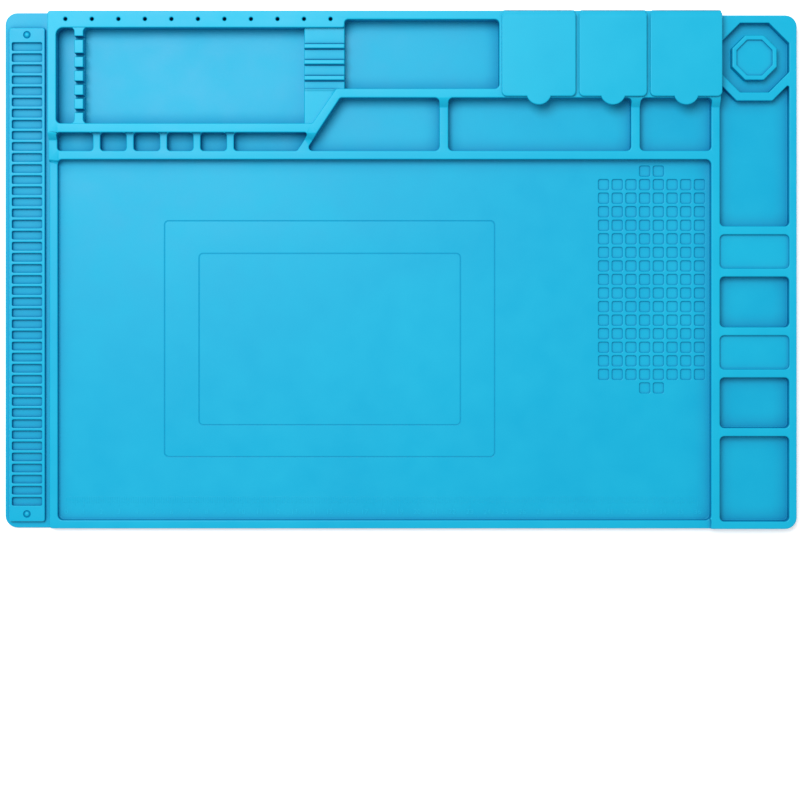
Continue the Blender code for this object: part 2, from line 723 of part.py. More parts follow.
def long_tray(look):
    """The long side tray, whose rear end follows the octagonal well."""
    front = side_tray_edges()[-1][2] + COLUMN_DIVIDER
    outer_front = front - COLUMN_DIVIDER / 2 + GAP / 2
    left = TOOL_RIGHT + GAP
    step_y = SMALL_WALL_FRONT - GAP
    diagonal = (BAND_HALF + GAP) * math.sqrt(2)
    left_y = OCTAGON_Y - (diagonal - (OCTAGON_X - left))
    right_y = OCTAGON_Y - (diagonal - (COLUMN_TRAY_RIGHT - OCTAGON_X))
    flat = diagonal - BAND_HALF - GAP
    outline = [
        Vector((COLUMN_LEFT, outer_front)),
        Vector((RIGHT, outer_front)),
        Vector((RIGHT, right_y)),
        Vector((COLUMN_TRAY_RIGHT, right_y)),
        Vector((OCTAGON_X + flat, OCTAGON_Y - BAND_HALF - GAP)),
        Vector((OCTAGON_X - flat, OCTAGON_Y - BAND_HALF - GAP)),
        Vector((left, left_y)),
        Vector((left, step_y)),
        Vector((COLUMN_LEFT, step_y)),
    ]
    tray = piece("long_tray", outline, 0, TOOL_RIM, look)
    over = RIGHT + CUT_OVER
    inside = COLUMN_TRAY_LEFT + CUT_OVER
    low_front = outer_front - CUT_OVER
    lower(tray, COLUMN_LEFT - CUT_OVER, over, low_front, SMALL_WALL_FRONT - SHOULDER)
    lower(tray, inside, over, low_front, COLUMN_REAR)
    corners = (POCKET_CORNER, POCKET_CORNER, 0, 0)
    hollow = rectangle(COLUMN_TRAY_LEFT, COLUMN_TRAY_RIGHT, front, OCTAGON_Y, corners)
    cut(tray, [pocket(hollow)])


def magnet_seat(front, rear, clearance):
    middle = (front + rear) / 2
    half_length = MAGNET_LENGTH / 2 + clearance
    half_width = MAGNET_WIDTH / 2 + clearance
    return rectangle(
        OCTAGON_X - half_length, OCTAGON_X + half_length, middle - half_width, middle + half_width
    )


def side_tray(name, front, rear, look):
    is_front = name == "side_tray_3"
    half_wall = COLUMN_DIVIDER / 2 - GAP / 2
    outer_front = FRONT if is_front else front - half_wall
    corners = (0, COLUMN_CORNER if is_front else 0, 0, 0)
    outline = rectangle(COLUMN_LEFT, RIGHT, outer_front, rear + half_wall, corners)
    tray = piece(name, outline, 0, TRAY_RIM, look)
    magnetic = name.startswith("magnet")
    floor = MAGNET_TRAY_FLOOR if magnetic else FLOOR
    corners = (POCKET_CORNER,) * 4
    hollow = rectangle(COLUMN_TRAY_LEFT, COLUMN_TRAY_RIGHT, front, rear, corners)
    cut(tray, [pocket(hollow, floor)])
    if magnetic:
        seat_top = MAGNET_LIFT + MAGNET_THICKNESS + GAP
        cut(tray, [(magnet_seat(front, rear, GAP), -CUT_OVER, seat_top)])


def magnet(name, front, rear, look):
    top = MAGNET_LIFT + MAGNET_THICKNESS
    piece(name, magnet_seat(front, rear, 0), MAGNET_LIFT, top, look)


# ---------------------------------------------------------------- the whole mat
def build():
    wipe_scene()
    silicone = finish("silicone", SILICONE, 0.45)
    lid_silicone = finish("lid_silicone", SILICONE_LIGHT, 0.42)
    ferrite = finish("ferrite", MAGNET_GREY, 0.55, 0.6)
    slot_rail(silicone)
    bit_rail(silicone)
    big_tool_tray(silicone)
    blade_comb(silicone)
    ridged_rest(silicone)
    small_tool_tray(silicone)
    slim_pockets(silicone)
    parts_tray_1(silicone)
    parts_tray_2(silicone)
    parts_tray_3(silicone)
    work_surface(silicone)
    screw_grid(silicone)
    octagon_tray(silicone)
    octagon_post(silicone)
    long_tray(silicone)
    for index in range(len(COMPARTMENTS)):
        compartment(index, silicone)
        hinge_web(index, lid_silicone)
        lid(index, lid_silicone)
    for name, front, rear in side_tray_edges():
        side_tray(name, front, rear, silicone)
        if name.startswith("magnet"):
            magnet(name.replace("magnet_tray", "magnet"), front, rear, ferrite)


build()
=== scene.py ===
"""Parts sorting tray: the soft silicone bench mat at rest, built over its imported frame.

Metres, +Z up. X runs from the slotted rail (left) to the side column (right), Y from the
worker's edge (front) to the tool trays (rear). The mat's moulded block is one closed skin:
a top face with rounded lips round every hollow, the hollows' walls and floors, the outer
sides and the underside. The rail, comb, rest, post, lids and webs are shells of their own.
"""

import json
import math

import bmesh
import bpy
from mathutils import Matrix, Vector
from mathutils.geometry import delaunay_2d_cdt


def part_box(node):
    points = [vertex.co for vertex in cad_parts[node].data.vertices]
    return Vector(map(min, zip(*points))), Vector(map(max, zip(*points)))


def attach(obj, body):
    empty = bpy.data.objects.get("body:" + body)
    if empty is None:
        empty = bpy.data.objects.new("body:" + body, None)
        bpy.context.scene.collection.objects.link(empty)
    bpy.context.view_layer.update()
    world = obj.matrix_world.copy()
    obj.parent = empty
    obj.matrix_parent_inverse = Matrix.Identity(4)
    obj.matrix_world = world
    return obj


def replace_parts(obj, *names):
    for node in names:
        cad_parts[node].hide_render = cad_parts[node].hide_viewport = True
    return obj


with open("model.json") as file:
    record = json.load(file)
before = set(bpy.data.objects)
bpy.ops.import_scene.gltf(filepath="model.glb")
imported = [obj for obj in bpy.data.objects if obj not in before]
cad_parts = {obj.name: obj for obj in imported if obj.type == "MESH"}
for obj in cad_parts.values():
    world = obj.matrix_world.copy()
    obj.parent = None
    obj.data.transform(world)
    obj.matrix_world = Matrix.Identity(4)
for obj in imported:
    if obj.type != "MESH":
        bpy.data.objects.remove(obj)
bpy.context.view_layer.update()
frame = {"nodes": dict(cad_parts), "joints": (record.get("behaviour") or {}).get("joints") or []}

# -------------------- levels and round edges
FLOOR = 0.0022
WORK_RIM = 0.0056
TRAY_RIM = 0.0080
TOOL_RIM = 0.0118
LIP = 0.0006
FOOT = 0.0005
LIP_STEPS = 3
FOOT_STEPS = 2
ARC_STEPS = 6
UNDERSIDE_EDGE = 0.0003

# -------------------- edges taken from the frame
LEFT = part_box("slot_rail")[0].x
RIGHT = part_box("long_tray")[1].x
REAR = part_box("bit_rail")[1].y
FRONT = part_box("work_surface")[0].y
BLOCK_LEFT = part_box("bit_rail")[0].x
REST_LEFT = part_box("ridged_rest")[0].x
REST_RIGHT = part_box("ridged_rest")[1].x
COLUMN_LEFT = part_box("long_tray")[0].x
COLUMN_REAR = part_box("octagon_tray")[1].y
BIG_TRAY_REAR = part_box("bit_rail")[0].y
BIG_WALL_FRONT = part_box("big_tool_tray")[0].y
SMALL_WALL_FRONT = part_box("small_tool_tray")[0].y
WORK_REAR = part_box("slim_pockets")[0].y

# -------------------- walls and hollows
RIM = 0.0049
WALL = 0.0051
BLOCK_CORNER = 0.0017
POCKET_CORNER = 0.0025
WIDE_CORNER = 0.0040
WEDGE_CORNER = 0.0020
SLANT_CORNER = 0.0015
TIGHT_CORNER = 0.0012
WORK_CORNER = 0.0030
BIG_TRAY_FRONT = BIG_WALL_FRONT + WALL
SMALL_TRAY_REAR = REAR - RIM
SMALL_TRAY_FRONT = SMALL_WALL_FRONT + WALL
TRAY_LEFT = BLOCK_LEFT + RIM
ROW_FRONT = WORK_REAR + RIM
SLIM_WALL = 0.0042
SLIM_PITCH = 0.01894
SLIM_FIRST = 0.0272
SLIM_WALLS = 5
SLIM_CORNER = 0.0018
ROW_SLANT_WIDTH = 0.0050
SLANT_WIDTH = 0.0062
SLANT_INSET = 0.0025
SLANT_REAR_X = REST_RIGHT - SLANT_INSET
SLANT_FRONT_X = REST_LEFT + 0.0075
PARTS_TRAY_1_REACH = 0.0561
PARTS_TRAY_3_WIDTH = 0.0404
WORK_RIM_WIDTH = 0.0047
WORK_LEFT = BLOCK_LEFT + WORK_RIM_WIDTH
WORK_FRONT = FRONT + WORK_RIM_WIDTH
COLUMN_WALL = 0.0049
COLUMN_RIM = 0.0043
COLUMN_DIVIDER = 0.0047
COLUMN_CORNER = 0.0065
COLUMN_TRAY_LEFT = COLUMN_LEFT + COLUMN_WALL
COLUMN_TRAY_RIGHT = RIGHT - COLUMN_RIM
TOOL_RIGHT = COLUMN_TRAY_LEFT + 0.0002
MAGNET_FLOOR = 0.0060
OCTAGON_BAND = 0.0048
OCTAGON_CORNER = 0.0009
BAND_CORNER = 0.0014
BAND_END_CORNER = 0.0008
SIDE_TRAY_DEPTH = 0.0286
FRONT_TRAY_DEPTH = 0.0483
MAGNET_TRAY_DEPTH = 0.0192

STEP_TOP = 0.0006
STEP_FOOT = 0.0004
STEP_PLACES = (-0.0006, -0.0005, -0.0003, -0.0001, -0.000004, 0.000004, 0.00008, 0.00022, 0.0004)
RAMP_PLACES = (0.0, 0.1, 0.25, 0.45, 0.65, 0.85, 0.97, 1.05)
REAR_RAMP = 0.0042
SIDE_RAMP = 0.0052
WORK_RAMP = 0.0015
ROLL_OFF = 1.35
HAIR = 0.0001
LEFT_RIM_END = WORK_LEFT + 0.0040
ROW_RIM_REAR = ROW_FRONT - 0.0010
SHOULDER_LEFT = REST_LEFT - 0.0042
SHOULDER_RIGHT = REST_RIGHT + 0.0113


# -------------------- outlines in plan
SHORTEST = 2e-6
LEVEL_RUN = 1e-7


def arc(x, y, radius, start, end, steps):
    """Points along an arc about (x, y), from the start angle to the end angle."""
    angles = [start + (end - start) * step / steps for step in range(steps + 1)]
    return [Vector((x + radius * math.cos(a), y + radius * math.sin(a))) for a in angles]


def rounded(corners, steps=ARC_STEPS):
    """An anticlockwise outline through (x, y, radius) corners, each corner an arc."""
    outline = []
    count = len(corners)
    for index, (x, y, radius) in enumerate(corners):
        here = Vector((x, y))
        if radius <= 0:
            outline.append(here)
            continue
        back = (Vector(corners[index - 1][:2]) - here).normalized()
        ahead = (Vector(corners[(index + 1) % count][:2]) - here).normalized()
        half = math.acos(max(-1.0, min(1.0, back.dot(ahead)))) / 2
        reach = radius / math.tan(half)
        centre = here + (back + ahead).normalized() * (radius / math.sin(half))
        start = here + back * reach - centre
        swing = math.pi - 2 * half
        if back.x * ahead.y - back.y * ahead.x > 0:
            swing = -swing
        for step in range(steps + 1):
            angle = swing * step / steps
            turned = Vector((
                start.x * math.cos(angle) - start.y * math.sin(angle),
                start.x * math.sin(angle) + start.y * math.cos(angle),
            ))
            outline.append(centre + turned)
    return outline


def rectangle(left, right, front, rear, radii=0.0, steps=ARC_STEPS):
    """Radii in the order front left, front right, rear right, rear left."""
    if not isinstance(radii, tuple):
        radii = (radii,) * 4
    places = ((left, front), (right, front), (right, rear), (left, rear))
    return rounded([(x, y, r) for (x, y), r in zip(places, radii)], steps)


def regular(sides, half, x, y, turn=0.5):
    """A regular outline that measures twice half across its flats."""
    reach = half / math.cos(math.pi / sides)
    angles = [2 * math.pi * (k + turn) / sides for k in range(sides)]
    return [Vector((x + reach * math.cos(a), y + reach * math.sin(a))) for a in angles]


def grow(outline, reach):
    """The outline moved outwards by reach, point by point."""
    grown = []
    count = len(outline)
    for index, here in enumerate(outline):
        before = here - outline[index - 1]
        after = outline[(index + 1) % count] - here
        first = Vector((before.y, -before.x)).normalized()
        second = Vector((after.y, -after.x)).normalized()
        grown.append(here + (first + second) * (reach / (1 + first.dot(second))))
    return grown


def split(outline, xs, ys):
    """The outline with extra points where it crosses the given places in X and in Y."""
    made = []
    for index, here in enumerate(outline):
        there = outline[(index + 1) % len(outline)]
        made.append(here)
        shares = []
        for axis, places in ((0, xs), (1, ys)):
            run = there[axis] - here[axis]
            if abs(run) < LEVEL_RUN:
                continue
            shares += [(place - here[axis]) / run for place in places]
        length = (there - here).length
        last = 0.0
        for share in sorted(shares):
            room = min(share, 1 - share, share - last) * length
            if room > SHORTEST:
                made.append(here.lerp(there, share))
                last = share
    return made


def holds(outline, x, y):
    """Whether the point lies inside the outline."""
    inside = False
    before = outline[-1]
    for here in outline:
        if (here.y > y) != (before.y > y):
            if x < here.x + (y - here.y) / (before.y - here.y) * (before.x - here.x):
                inside = not inside
        before = here
    return inside


def clear_of(outline, x, y):
    """Distance from the point to the outline's nearest edge."""
    nearest = 1.0
    point = Vector((x, y))
    before = outline[-1]
    for here in outline:
        edge = here - before
        share = max(0.0, min(1.0, (point - before).dot(edge) / max(edge.length_squared, 1e-18)))
        nearest = min(nearest, (before + edge * share - point).length)
        before = here
    return nearest


# -------------------- skins
FAR_OFF = 0.001
LEAST_GAP = 0.00025
CLOSEST = 1e-7
PER_METRE = 1000.0


class Skin:
    """A shell in the making: rings of points, the bands between them and flat plates."""

    def __init__(self):
        self.mesh = bmesh.new()

    def ring(self, outline, heights):
        if not isinstance(heights, list):
            heights = [heights] * len(outline)
        return [self.mesh.verts.new((p.x, p.y, z)) for p, z in zip(outline, heights)]

    def band(self, first, second):
        for index in range(len(first)):
            following = (index + 1) % len(first)
            corners = (first[index], first[following], second[following], second[index])
            self.mesh.faces.new(corners)

    def cap(self, ring):
        self.mesh.faces.new(ring)

    def plate(self, outer, holes=(), height=None, places=()):
        """Fills the stretch inside outer and outside the holes, which are rings of points."""
        loops = [outer, *holes]
        points = [v for loop in loops for v in loop]
        edges = []
        start = 0
        for loop in loops:
            count = len(loop)
            edges += [(start + k, start + (k + 1) % count) for k in range(count)]
            start += count
        flat = [Vector((v.co.x, v.co.y)) for v in points]
        outlines = [[Vector((v.co.x, v.co.y)) for v in loop] for loop in loops]
        boxes = []
        for outline in outlines:
            xs = [p.x for p in outline]
            ys = [p.y for p in outline]
            boxes.append((min(xs), max(xs), min(ys), max(ys)))

        def solid(x, y):
            for place, (outline, box) in enumerate(zip(outlines, boxes)):
                within = box[0] <= x <= box[1] and box[2] <= y <= box[3]
                within = within and holds(outline, x, y)
                if within != (place == 0):
                    return False
            return True

        for x, y in places:
            if not solid(x, y):
                continue
            near = 1.0
            for outline, box in zip(outlines, boxes):
                beside = box[0] - FAR_OFF < x < box[1] + FAR_OFF
                if beside and box[2] - FAR_OFF < y < box[3] + FAR_OFF:
                    near = min(near, clear_of(outline, x, y))
            if near > LEAST_GAP:
                flat.append(Vector((x, y)))
                points.append(self.mesh.verts.new((x, y, height(x, y))))
        made = delaunay_2d_cdt([p * PER_METRE for p in flat], edges, [], 0, CLOSEST)
        verts, _, faces, source = made[0], made[1], made[2], made[3]
        for face in faces:
            middle = sum((verts[k] for k in face), Vector((0, 0))) / len(face) / PER_METRE
            if not solid(middle.x, middle.y):
                continue
            corners = []
            for k in face:
                if source[k]:
                    corners.append(points[source[k][0]])
            if len(set(corners)) == 3:
                self.mesh.faces.new(corners)

    def lip_rings(self, top, heights, size):
        """A rounded edge that starts at the rim's points and turns down, outwards where size
        is positive and inwards where it is negative. Gives its first and its last ring."""
        first = self.ring(top, heights)
        last = first
        for step in range(1, LIP_STEPS + 1):
            angle = math.pi / 2 * step / LIP_STEPS
            drop = abs(size) * (1 - math.cos(angle))
            ring = self.ring(grow(top, size * math.sin(angle)), [z - drop for z in heights])
            self.band(last, ring)
            last = ring
        return first, last

    def foot_rings(self, top, last, base, reach, size, steps=FOOT_STEPS):
        """A rounded turn into the level of base, reach away from the points of top. Gives
        its last ring."""
        for step in range(steps + 1):
            angle = math.pi / 2 * step / steps
            outline = grow(top, reach + size * (1 - math.cos(angle)))
            ring = self.ring(outline, base + abs(size) * (1 - math.sin(angle)))
            self.band(last, ring)
            last = ring
        return last

    def well(self, outline, rim, floor, lip=LIP, foot=FOOT, cap=True, rows=((), ())):
        """A hollow: a rounded lip at the rim, a wall and a rounded foot. Gives its rim ring
        and its floor ring."""
        top = split(grow(outline, lip), *rows)
        heights = [rim(p.x, p.y) if callable(rim) else rim for p in top]
        first, last = self.lip_rings(top, heights, -lip)
        last = self.foot_rings(top, last, floor, -lip, -foot)
        if cap:
            self.cap(last)
        return first, last

    def bank(self, outline, rim, base, lip=LIP, foot=0.0, rows=((), ())):
        """An outer side: a rounded lip at the rim and a wall down to base, where it flares
        by foot or, with none, turns under. Gives its rim ring and its base ring."""
        top = split(grow(outline, -lip), *rows)
        heights = [rim(p.x, p.y) if callable(rim) else rim for p in top]
        first, last = self.lip_rings(top, heights, lip)
        last = self.foot_rings(top, last, base, lip, foot or -UNDERSIDE_EDGE)
        return first, last

    def piece(self, name, finish, body="mat", sharp=50):
        """The finished object, riding on its body."""
        bmesh.ops.recalc_face_normals(self.mesh, faces=self.mesh.faces)
        data = bpy.data.meshes.new(name)
        self.mesh.to_mesh(data)
        self.mesh.free()
        data.materials.append(finish)
        data.shade_smooth()
        data.set_sharp_from_angle(angle=math.radians(sharp))
        obj = bpy.data.objects.new(name, data)
        bpy.context.scene.collection.objects.link(obj)
        weights = obj.modifiers.new("even_shading", "WEIGHTED_NORMAL")
        weights.keep_sharp = True
        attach(obj, body)
        return obj


# -------------------- finishes
class Value:
    """A socket of a finish in the making. Sums written with it add their Math nodes."""

    def __init__(self, finish, socket):
        self.finish = finish
        self.socket = socket

    def output(self, name):
        return Value(self.finish, self.socket.node.outputs[name])

    def output_colour(self):
        return Value(self.finish, self.socket.node.outputs[2])

    def math(self, operation, *values):
        inputs = dict(enumerate(values))
        return self.finish.node("ShaderNodeMath", {"operation": operation}, inputs)

    def __add__(self, other):
        return self.math("ADD", self, other)

    def __radd__(self, other):
        return self.math("ADD", other, self)

    def __sub__(self, other):
        return self.math("SUBTRACT", self, other)

    def __rsub__(self, other):
        return self.math("SUBTRACT", other, self)

    def __mul__(self, other):
        return self.math("MULTIPLY", self, other)

    def __truediv__(self, other):
        return self.math("DIVIDE", self, other)

    def clamped(self):
        return self.math("MINIMUM", self.math("MAXIMUM", self, 0.0), 1.0)


class Finish:
    """One material, built node by node."""

    def __init__(self, name):
        self.material = bpy.data.materials.new(name)
        self.material.use_nodes = True
        self.tree = self.material.node_tree
        self.tree.nodes.clear()

    def node(self, kind, settings=None, inputs=None):
        """Any node: its type, its settings and the numbers or links of its sockets."""
        made = self.tree.nodes.new(kind)
        for name, value in (settings or {}).items():
            setattr(made, name, value)
        for name, value in (inputs or {}).items():
            if isinstance(value, Value):
                self.tree.links.new(value.socket, made.inputs[name])
            else:
                made.inputs[name].default_value = value
        outputs = [o for o in made.outputs if o.enabled]
        return Value(self, outputs[0]) if outputs else None

    def mix(self, share, first, second):
        """The two colours blended: the first where share is 0, the second where it is 1."""
        inputs = {0: share, 6: first, 7: second}
        return self.node("ShaderNodeMix", {"data_type": "RGBA"}, inputs).output_colour()

    def finished(self, surface):
        self.node("ShaderNodeOutputMaterial", None, {"Surface": surface})
        return self.material


NOISE = "ShaderNodeTexNoise"
NOOK_REACH = 0.009
CREASE_REACH = 0.0014
# painted light: the silicone's colour pales from this height over this span
PAINTED_LIGHT_FROM = 0.003
PAINTED_LIGHT_SPAN = 0.011


def enclosed(made, reach):
    """How far the piece's own surface closes in on a place within reach: 0 in the open."""
    settings = {"samples": 12, "only_local": True}
    node = made.node("ShaderNodeAmbientOcclusion", settings, {"Distance": reach})
    return 1.0 - node.output("AO")


def silicone(name, deep, light, shade, roughness=0.38):
    """Moulded silicone: a satin skin with a fine mould texture, slow drifts of colour and
    dust specks. Painted light makes it paler the higher it stands. Painted shade makes it
    deeper in its nooks, in its creases and on its walls, where it is also duller."""
    made = Finish(name)
    place = made.node("ShaderNodeTexCoord").output("Object")
    drift = made.node(NOISE, None, {"Vector": place, "Scale": 9.0, "Detail": 3.0})
    cloud = made.node(NOISE, None, {"Vector": place, "Scale": 55.0, "Detail": 5.0})
    grain = made.node(NOISE, None, {"Vector": place, "Scale": 2600.0, "Detail": 2.0})
    ripple = made.node(NOISE, None, {"Vector": place, "Scale": 160.0, "Detail": 3.0})
    height = made.node("ShaderNodeSeparateXYZ", None, {0: place}).output("Z")
    # painted light: the higher the surface stands, the paler its colour
    painted_light_by_height = ((height - PAINTED_LIGHT_FROM) / PAINTED_LIGHT_SPAN).clamped()
    share = (0.15 + painted_light_by_height * 0.68 + (drift - 0.5) * 0.9 + (cloud - 0.5) * 0.5).clamped()
    colour = made.mix(share, deep, light)
    speck = made.node("ShaderNodeTexVoronoi", None, {"Vector": place, "Scale": 210.0})
    dust = (1.0 - speck * 9.0).clamped() * (cloud - 0.42).clamped() * 1.6
    colour = made.mix(dust.clamped(), colour, light)
    # painted shade: the colour deepens towards the shade colour in nooks and creases that the
    # surface closes in on
    nook = (enclosed(made, NOOK_REACH) * 1.25 - 0.06).clamped()
    crease = (enclosed(made, CREASE_REACH) * 1.30 - 0.08).clamped()
    facing = made.node("ShaderNodeSeparateXYZ", None, {0: place.output("Normal")}).output("Z")
    # painted shade: steep walls get the shade colour too
    steep = (0.7 - facing.math("ABSOLUTE", facing)).clamped()
    depth = nook * 0.68 + crease * 0.60 + steep * 0.70
    colour = made.mix(depth.clamped(), colour, shade)
    gloss = roughness + (cloud - 0.5) * 0.22 + (grain - 0.5) * 0.10 + nook * 0.40
    relief = grain * 0.55 + ripple * 0.9
    bump = made.node("ShaderNodeBump", None, {
        "Strength": 0.22, "Distance": 0.00012, "Height": relief,
    })
    surface = made.node("ShaderNodeBsdfPrincipled", None, {
        "Base Color": colour, "Roughness": gloss, "Normal": bump, "IOR": 1.43,
        "Specular IOR Level": 0.27,
    })
    return made.finished(surface)


def ferrite(name):
    """Pressed ferrite: dark, dull and faintly grainy, with paler ground patches."""
    made = Finish(name)
    place = made.node("ShaderNodeTexCoord").output("Object")
    grain = made.node(NOISE, None, {"Vector": place, "Scale": 1800.0, "Detail": 4.0})
    cloud = made.node(NOISE, None, {"Vector": place, "Scale": 90.0, "Detail": 3.0})
    share = (cloud * 0.8 + grain * 0.3).clamped()
    colour = made.mix(share, (0.018, 0.018, 0.02, 1), (0.07, 0.07, 0.075, 1))
    bump = made.node("ShaderNodeBump", None, {
        "Strength": 0.4, "Distance": 0.0001, "Height": grain,
    })
    surface = made.node("ShaderNodeBsdfPrincipled", None, {
        "Base Color": colour, "Roughness": 0.5 + cloud * 0.3, "Metallic": 0.3, "Normal": bump,
    })
    return made.finished(surface)


BENCH_GLOW = 0.28


def backdrop_finish(name):
    """The pale bench: matt, with a faint glow of its own that keeps shadows on it light."""
    made = Finish(name)
    place = made.node("ShaderNodeTexCoord").output("Object")
    cloud = made.node(NOISE, None, {"Vector": place, "Scale": 30.0})
    glow = made.mix(cloud, (0.98, 0.98, 0.98, 1), (1.0, 1.0, 1.0, 1))
    colour = made.mix(cloud, (0.93, 0.93, 0.93, 1), (0.95, 0.95, 0.95, 1))
    surface = made.node("ShaderNodeBsdfPrincipled", None, {
        "Base Color": colour, "Roughness": 0.8, "Specular IOR Level": 0.2,
        "Emission Color": glow, "Emission Strength": BENCH_GLOW,
    })
    return made.finished(surface)


# -------------------- heights of the block's top
def step_height(past, high, low):
    """Height across an upright step with a rounded top and foot: high before it, low after."""
    top = min(STEP_TOP, 0.55 * (high - low))
    foot = min(STEP_FOOT, 0.35 * (high - low))
    if past <= -top:
        return high
    if past < 0:
        return high - top + math.sqrt(max(0.0, top * top - (past + top) ** 2))
    if past < foot:
        return low + foot - math.sqrt(max(0.0, foot * foot - (foot - past) ** 2))
    return low


def ramp_height(share, high, low):
    """Height along a sloped shoulder: it rolls off at the top and ends in a crease."""
    share = max(0.0, min(1.0, share))
    return high - (high - low) * share ** ROLL_OFF


def slant_x(y):
    """X of the slanted wall's right face."""
    slope = (SLANT_REAR_X - SLANT_FRONT_X) / (SMALL_WALL_FRONT - BIG_WALL_FRONT)
    return SLANT_REAR_X - slope * (SMALL_WALL_FRONT - y)


def rim_height(x, y):
    """Height of the block's top face at a place where it isn't hollowed."""
    if y < WORK_FRONT + LIP and x < COLUMN_LEFT + LIP:
        return step_height(COLUMN_LEFT - x, TRAY_RIM, WORK_RIM)
    if x < LEFT_RIM_END and y < ROW_RIM_REAR:
        return ramp_height((WORK_REAR - y) / WORK_RAMP, TRAY_RIM, WORK_RIM)
    if x < TRAY_LEFT + HAIR or SHOULDER_LEFT < x < SHOULDER_RIGHT:
        tool = ramp_height((BIG_WALL_FRONT - y) / REAR_RAMP, TOOL_RIM, TRAY_RIM)
    elif x <= REST_LEFT:
        tool = step_height(BIG_WALL_FRONT - y, TOOL_RIM, TRAY_RIM)
    else:
        tool = ramp_height((SMALL_WALL_FRONT - y) / SIDE_RAMP, TOOL_RIM, TRAY_RIM)
    return step_height(x - TOOL_RIGHT, tool, TRAY_RIM)


REAR_PLACE_PITCH = 0.0011
FRONT_PLACE_PITCH = 0.0009
ROWS_X = [TOOL_RIGHT + past for past in STEP_PLACES]
ROWS_X += [COLUMN_LEFT - past for past in STEP_PLACES]
ROWS_Y = [BIG_WALL_FRONT - past for past in STEP_PLACES]
ROWS_Y += [BIG_WALL_FRONT - REAR_RAMP * share for share in RAMP_PLACES[1:]]
ROWS_Y += [SMALL_WALL_FRONT - SIDE_RAMP * share for share in RAMP_PLACES]
ROWS_Y += [WORK_REAR - WORK_RAMP * share for share in RAMP_PLACES]
ROWS = (ROWS_X, ROWS_Y)


def rim_places():
    """Points on the block's wide rims where its height changes."""
    places = []
    for past in STEP_PLACES:
        y = SMALL_WALL_FRONT - SIDE_RAMP
        while y < REAR:
            places.append((TOOL_RIGHT + past, y))
            y += REAR_PLACE_PITCH
    for past in STEP_PLACES:
        for k in range(5):
            places.append((COLUMN_LEFT - past, FRONT + FRONT_PLACE_PITCH * (k + 1)))
    return places


# -------------------- the block's hollows
def tool_hollows():
    """The two tool trays with the gap for the ridged rest between them."""
    slant_rear = slant_x(SMALL_TRAY_FRONT) - SLANT_WIDTH
    slant_front = slant_x(BIG_TRAY_FRONT) - SLANT_WIDTH
    small_right = COMPARTMENT_SPANS[0][0] - WALL
    return rounded([
        (TRAY_LEFT, BIG_TRAY_FRONT, POCKET_CORNER),
        (slant_front, BIG_TRAY_FRONT, SLANT_CORNER),
        (slant_rear + LIP, SMALL_TRAY_FRONT, TIGHT_CORNER),
        (small_right, SMALL_TRAY_FRONT, POCKET_CORNER),
        (small_right, SMALL_TRAY_REAR, POCKET_CORNER),
        (REST_RIGHT, SMALL_TRAY_REAR, WEDGE_CORNER),
        (REST_RIGHT, BIG_TRAY_REAR, TIGHT_CORNER),
        (TRAY_LEFT, BIG_TRAY_REAR, WIDE_CORNER),
    ])


def compartment_spans():
    """(left, right) of the compartments under the lids, from the left one on."""
    spans = []
    right = TOOL_RIGHT - WALL
    for width in reversed(COMPARTMENT_WIDTHS):
        spans.insert(0, (right - width, right))
        right -= width + WALL
    return spans


COMPARTMENT_WIDTHS = (0.0360, 0.0350, 0.0341)
COMPARTMENT_SPANS = compartment_spans()

OCTAGON_X = (COLUMN_TRAY_LEFT + COLUMN_TRAY_RIGHT) / 2
OCTAGON_HALF = (COLUMN_TRAY_RIGHT - COLUMN_TRAY_LEFT) / 2
OCTAGON_Y = COLUMN_REAR - COLUMN_RIM - OCTAGON_HALF
BAND_HALF = OCTAGON_HALF + OCTAGON_BAND


def slim_hollows():
    """The six slim pockets, from the left one to the one beside the slanted wall."""
    left = TRAY_LEFT
    outlines = []
    for index in range(SLIM_WALLS):
        middle = BLOCK_LEFT + SLIM_FIRST + index * SLIM_PITCH
        right = middle - SLIM_WALL / 2
        outlines.append(rectangle(left, right, ROW_FRONT, BIG_WALL_FRONT, SLIM_CORNER))
        left = middle + SLIM_WALL / 2
    front = slant_x(ROW_FRONT) - ROW_SLANT_WIDTH
    rear = slant_x(BIG_WALL_FRONT) - ROW_SLANT_WIDTH
    outlines.append(rounded([
        (left, ROW_FRONT, SLIM_CORNER),
        (front, ROW_FRONT, SLIM_CORNER),
        (rear, BIG_WALL_FRONT, TIGHT_CORNER),
        (left, BIG_WALL_FRONT, SLIM_CORNER),
    ]))
    return outlines


def parts_hollows():
    """The three parts trays behind the work area, from the left one on."""
    first = SLANT_REAR_X + PARTS_TRAY_1_REACH + WALL / 2
    second = COLUMN_LEFT - PARTS_TRAY_3_WIDTH - WALL / 2
    tray_1 = rounded([
        (slant_x(ROW_FRONT), ROW_FRONT, WEDGE_CORNER),
        (first - WALL / 2, ROW_FRONT, POCKET_CORNER),
        (first - WALL / 2, SMALL_WALL_FRONT, POCKET_CORNER),
        (slant_x(SMALL_WALL_FRONT), SMALL_WALL_FRONT, WEDGE_CORNER),
    ])
    left = first + WALL / 2
    right = second - WALL / 2
    tray_2 = rectangle(left, right, ROW_FRONT, SMALL_WALL_FRONT, POCKET_CORNER)
    left = second + WALL / 2
    tray_3 = rectangle(left, COLUMN_LEFT, ROW_FRONT, SMALL_WALL_FRONT, POCKET_CORNER)
    return [tray_1, tray_2, tray_3]


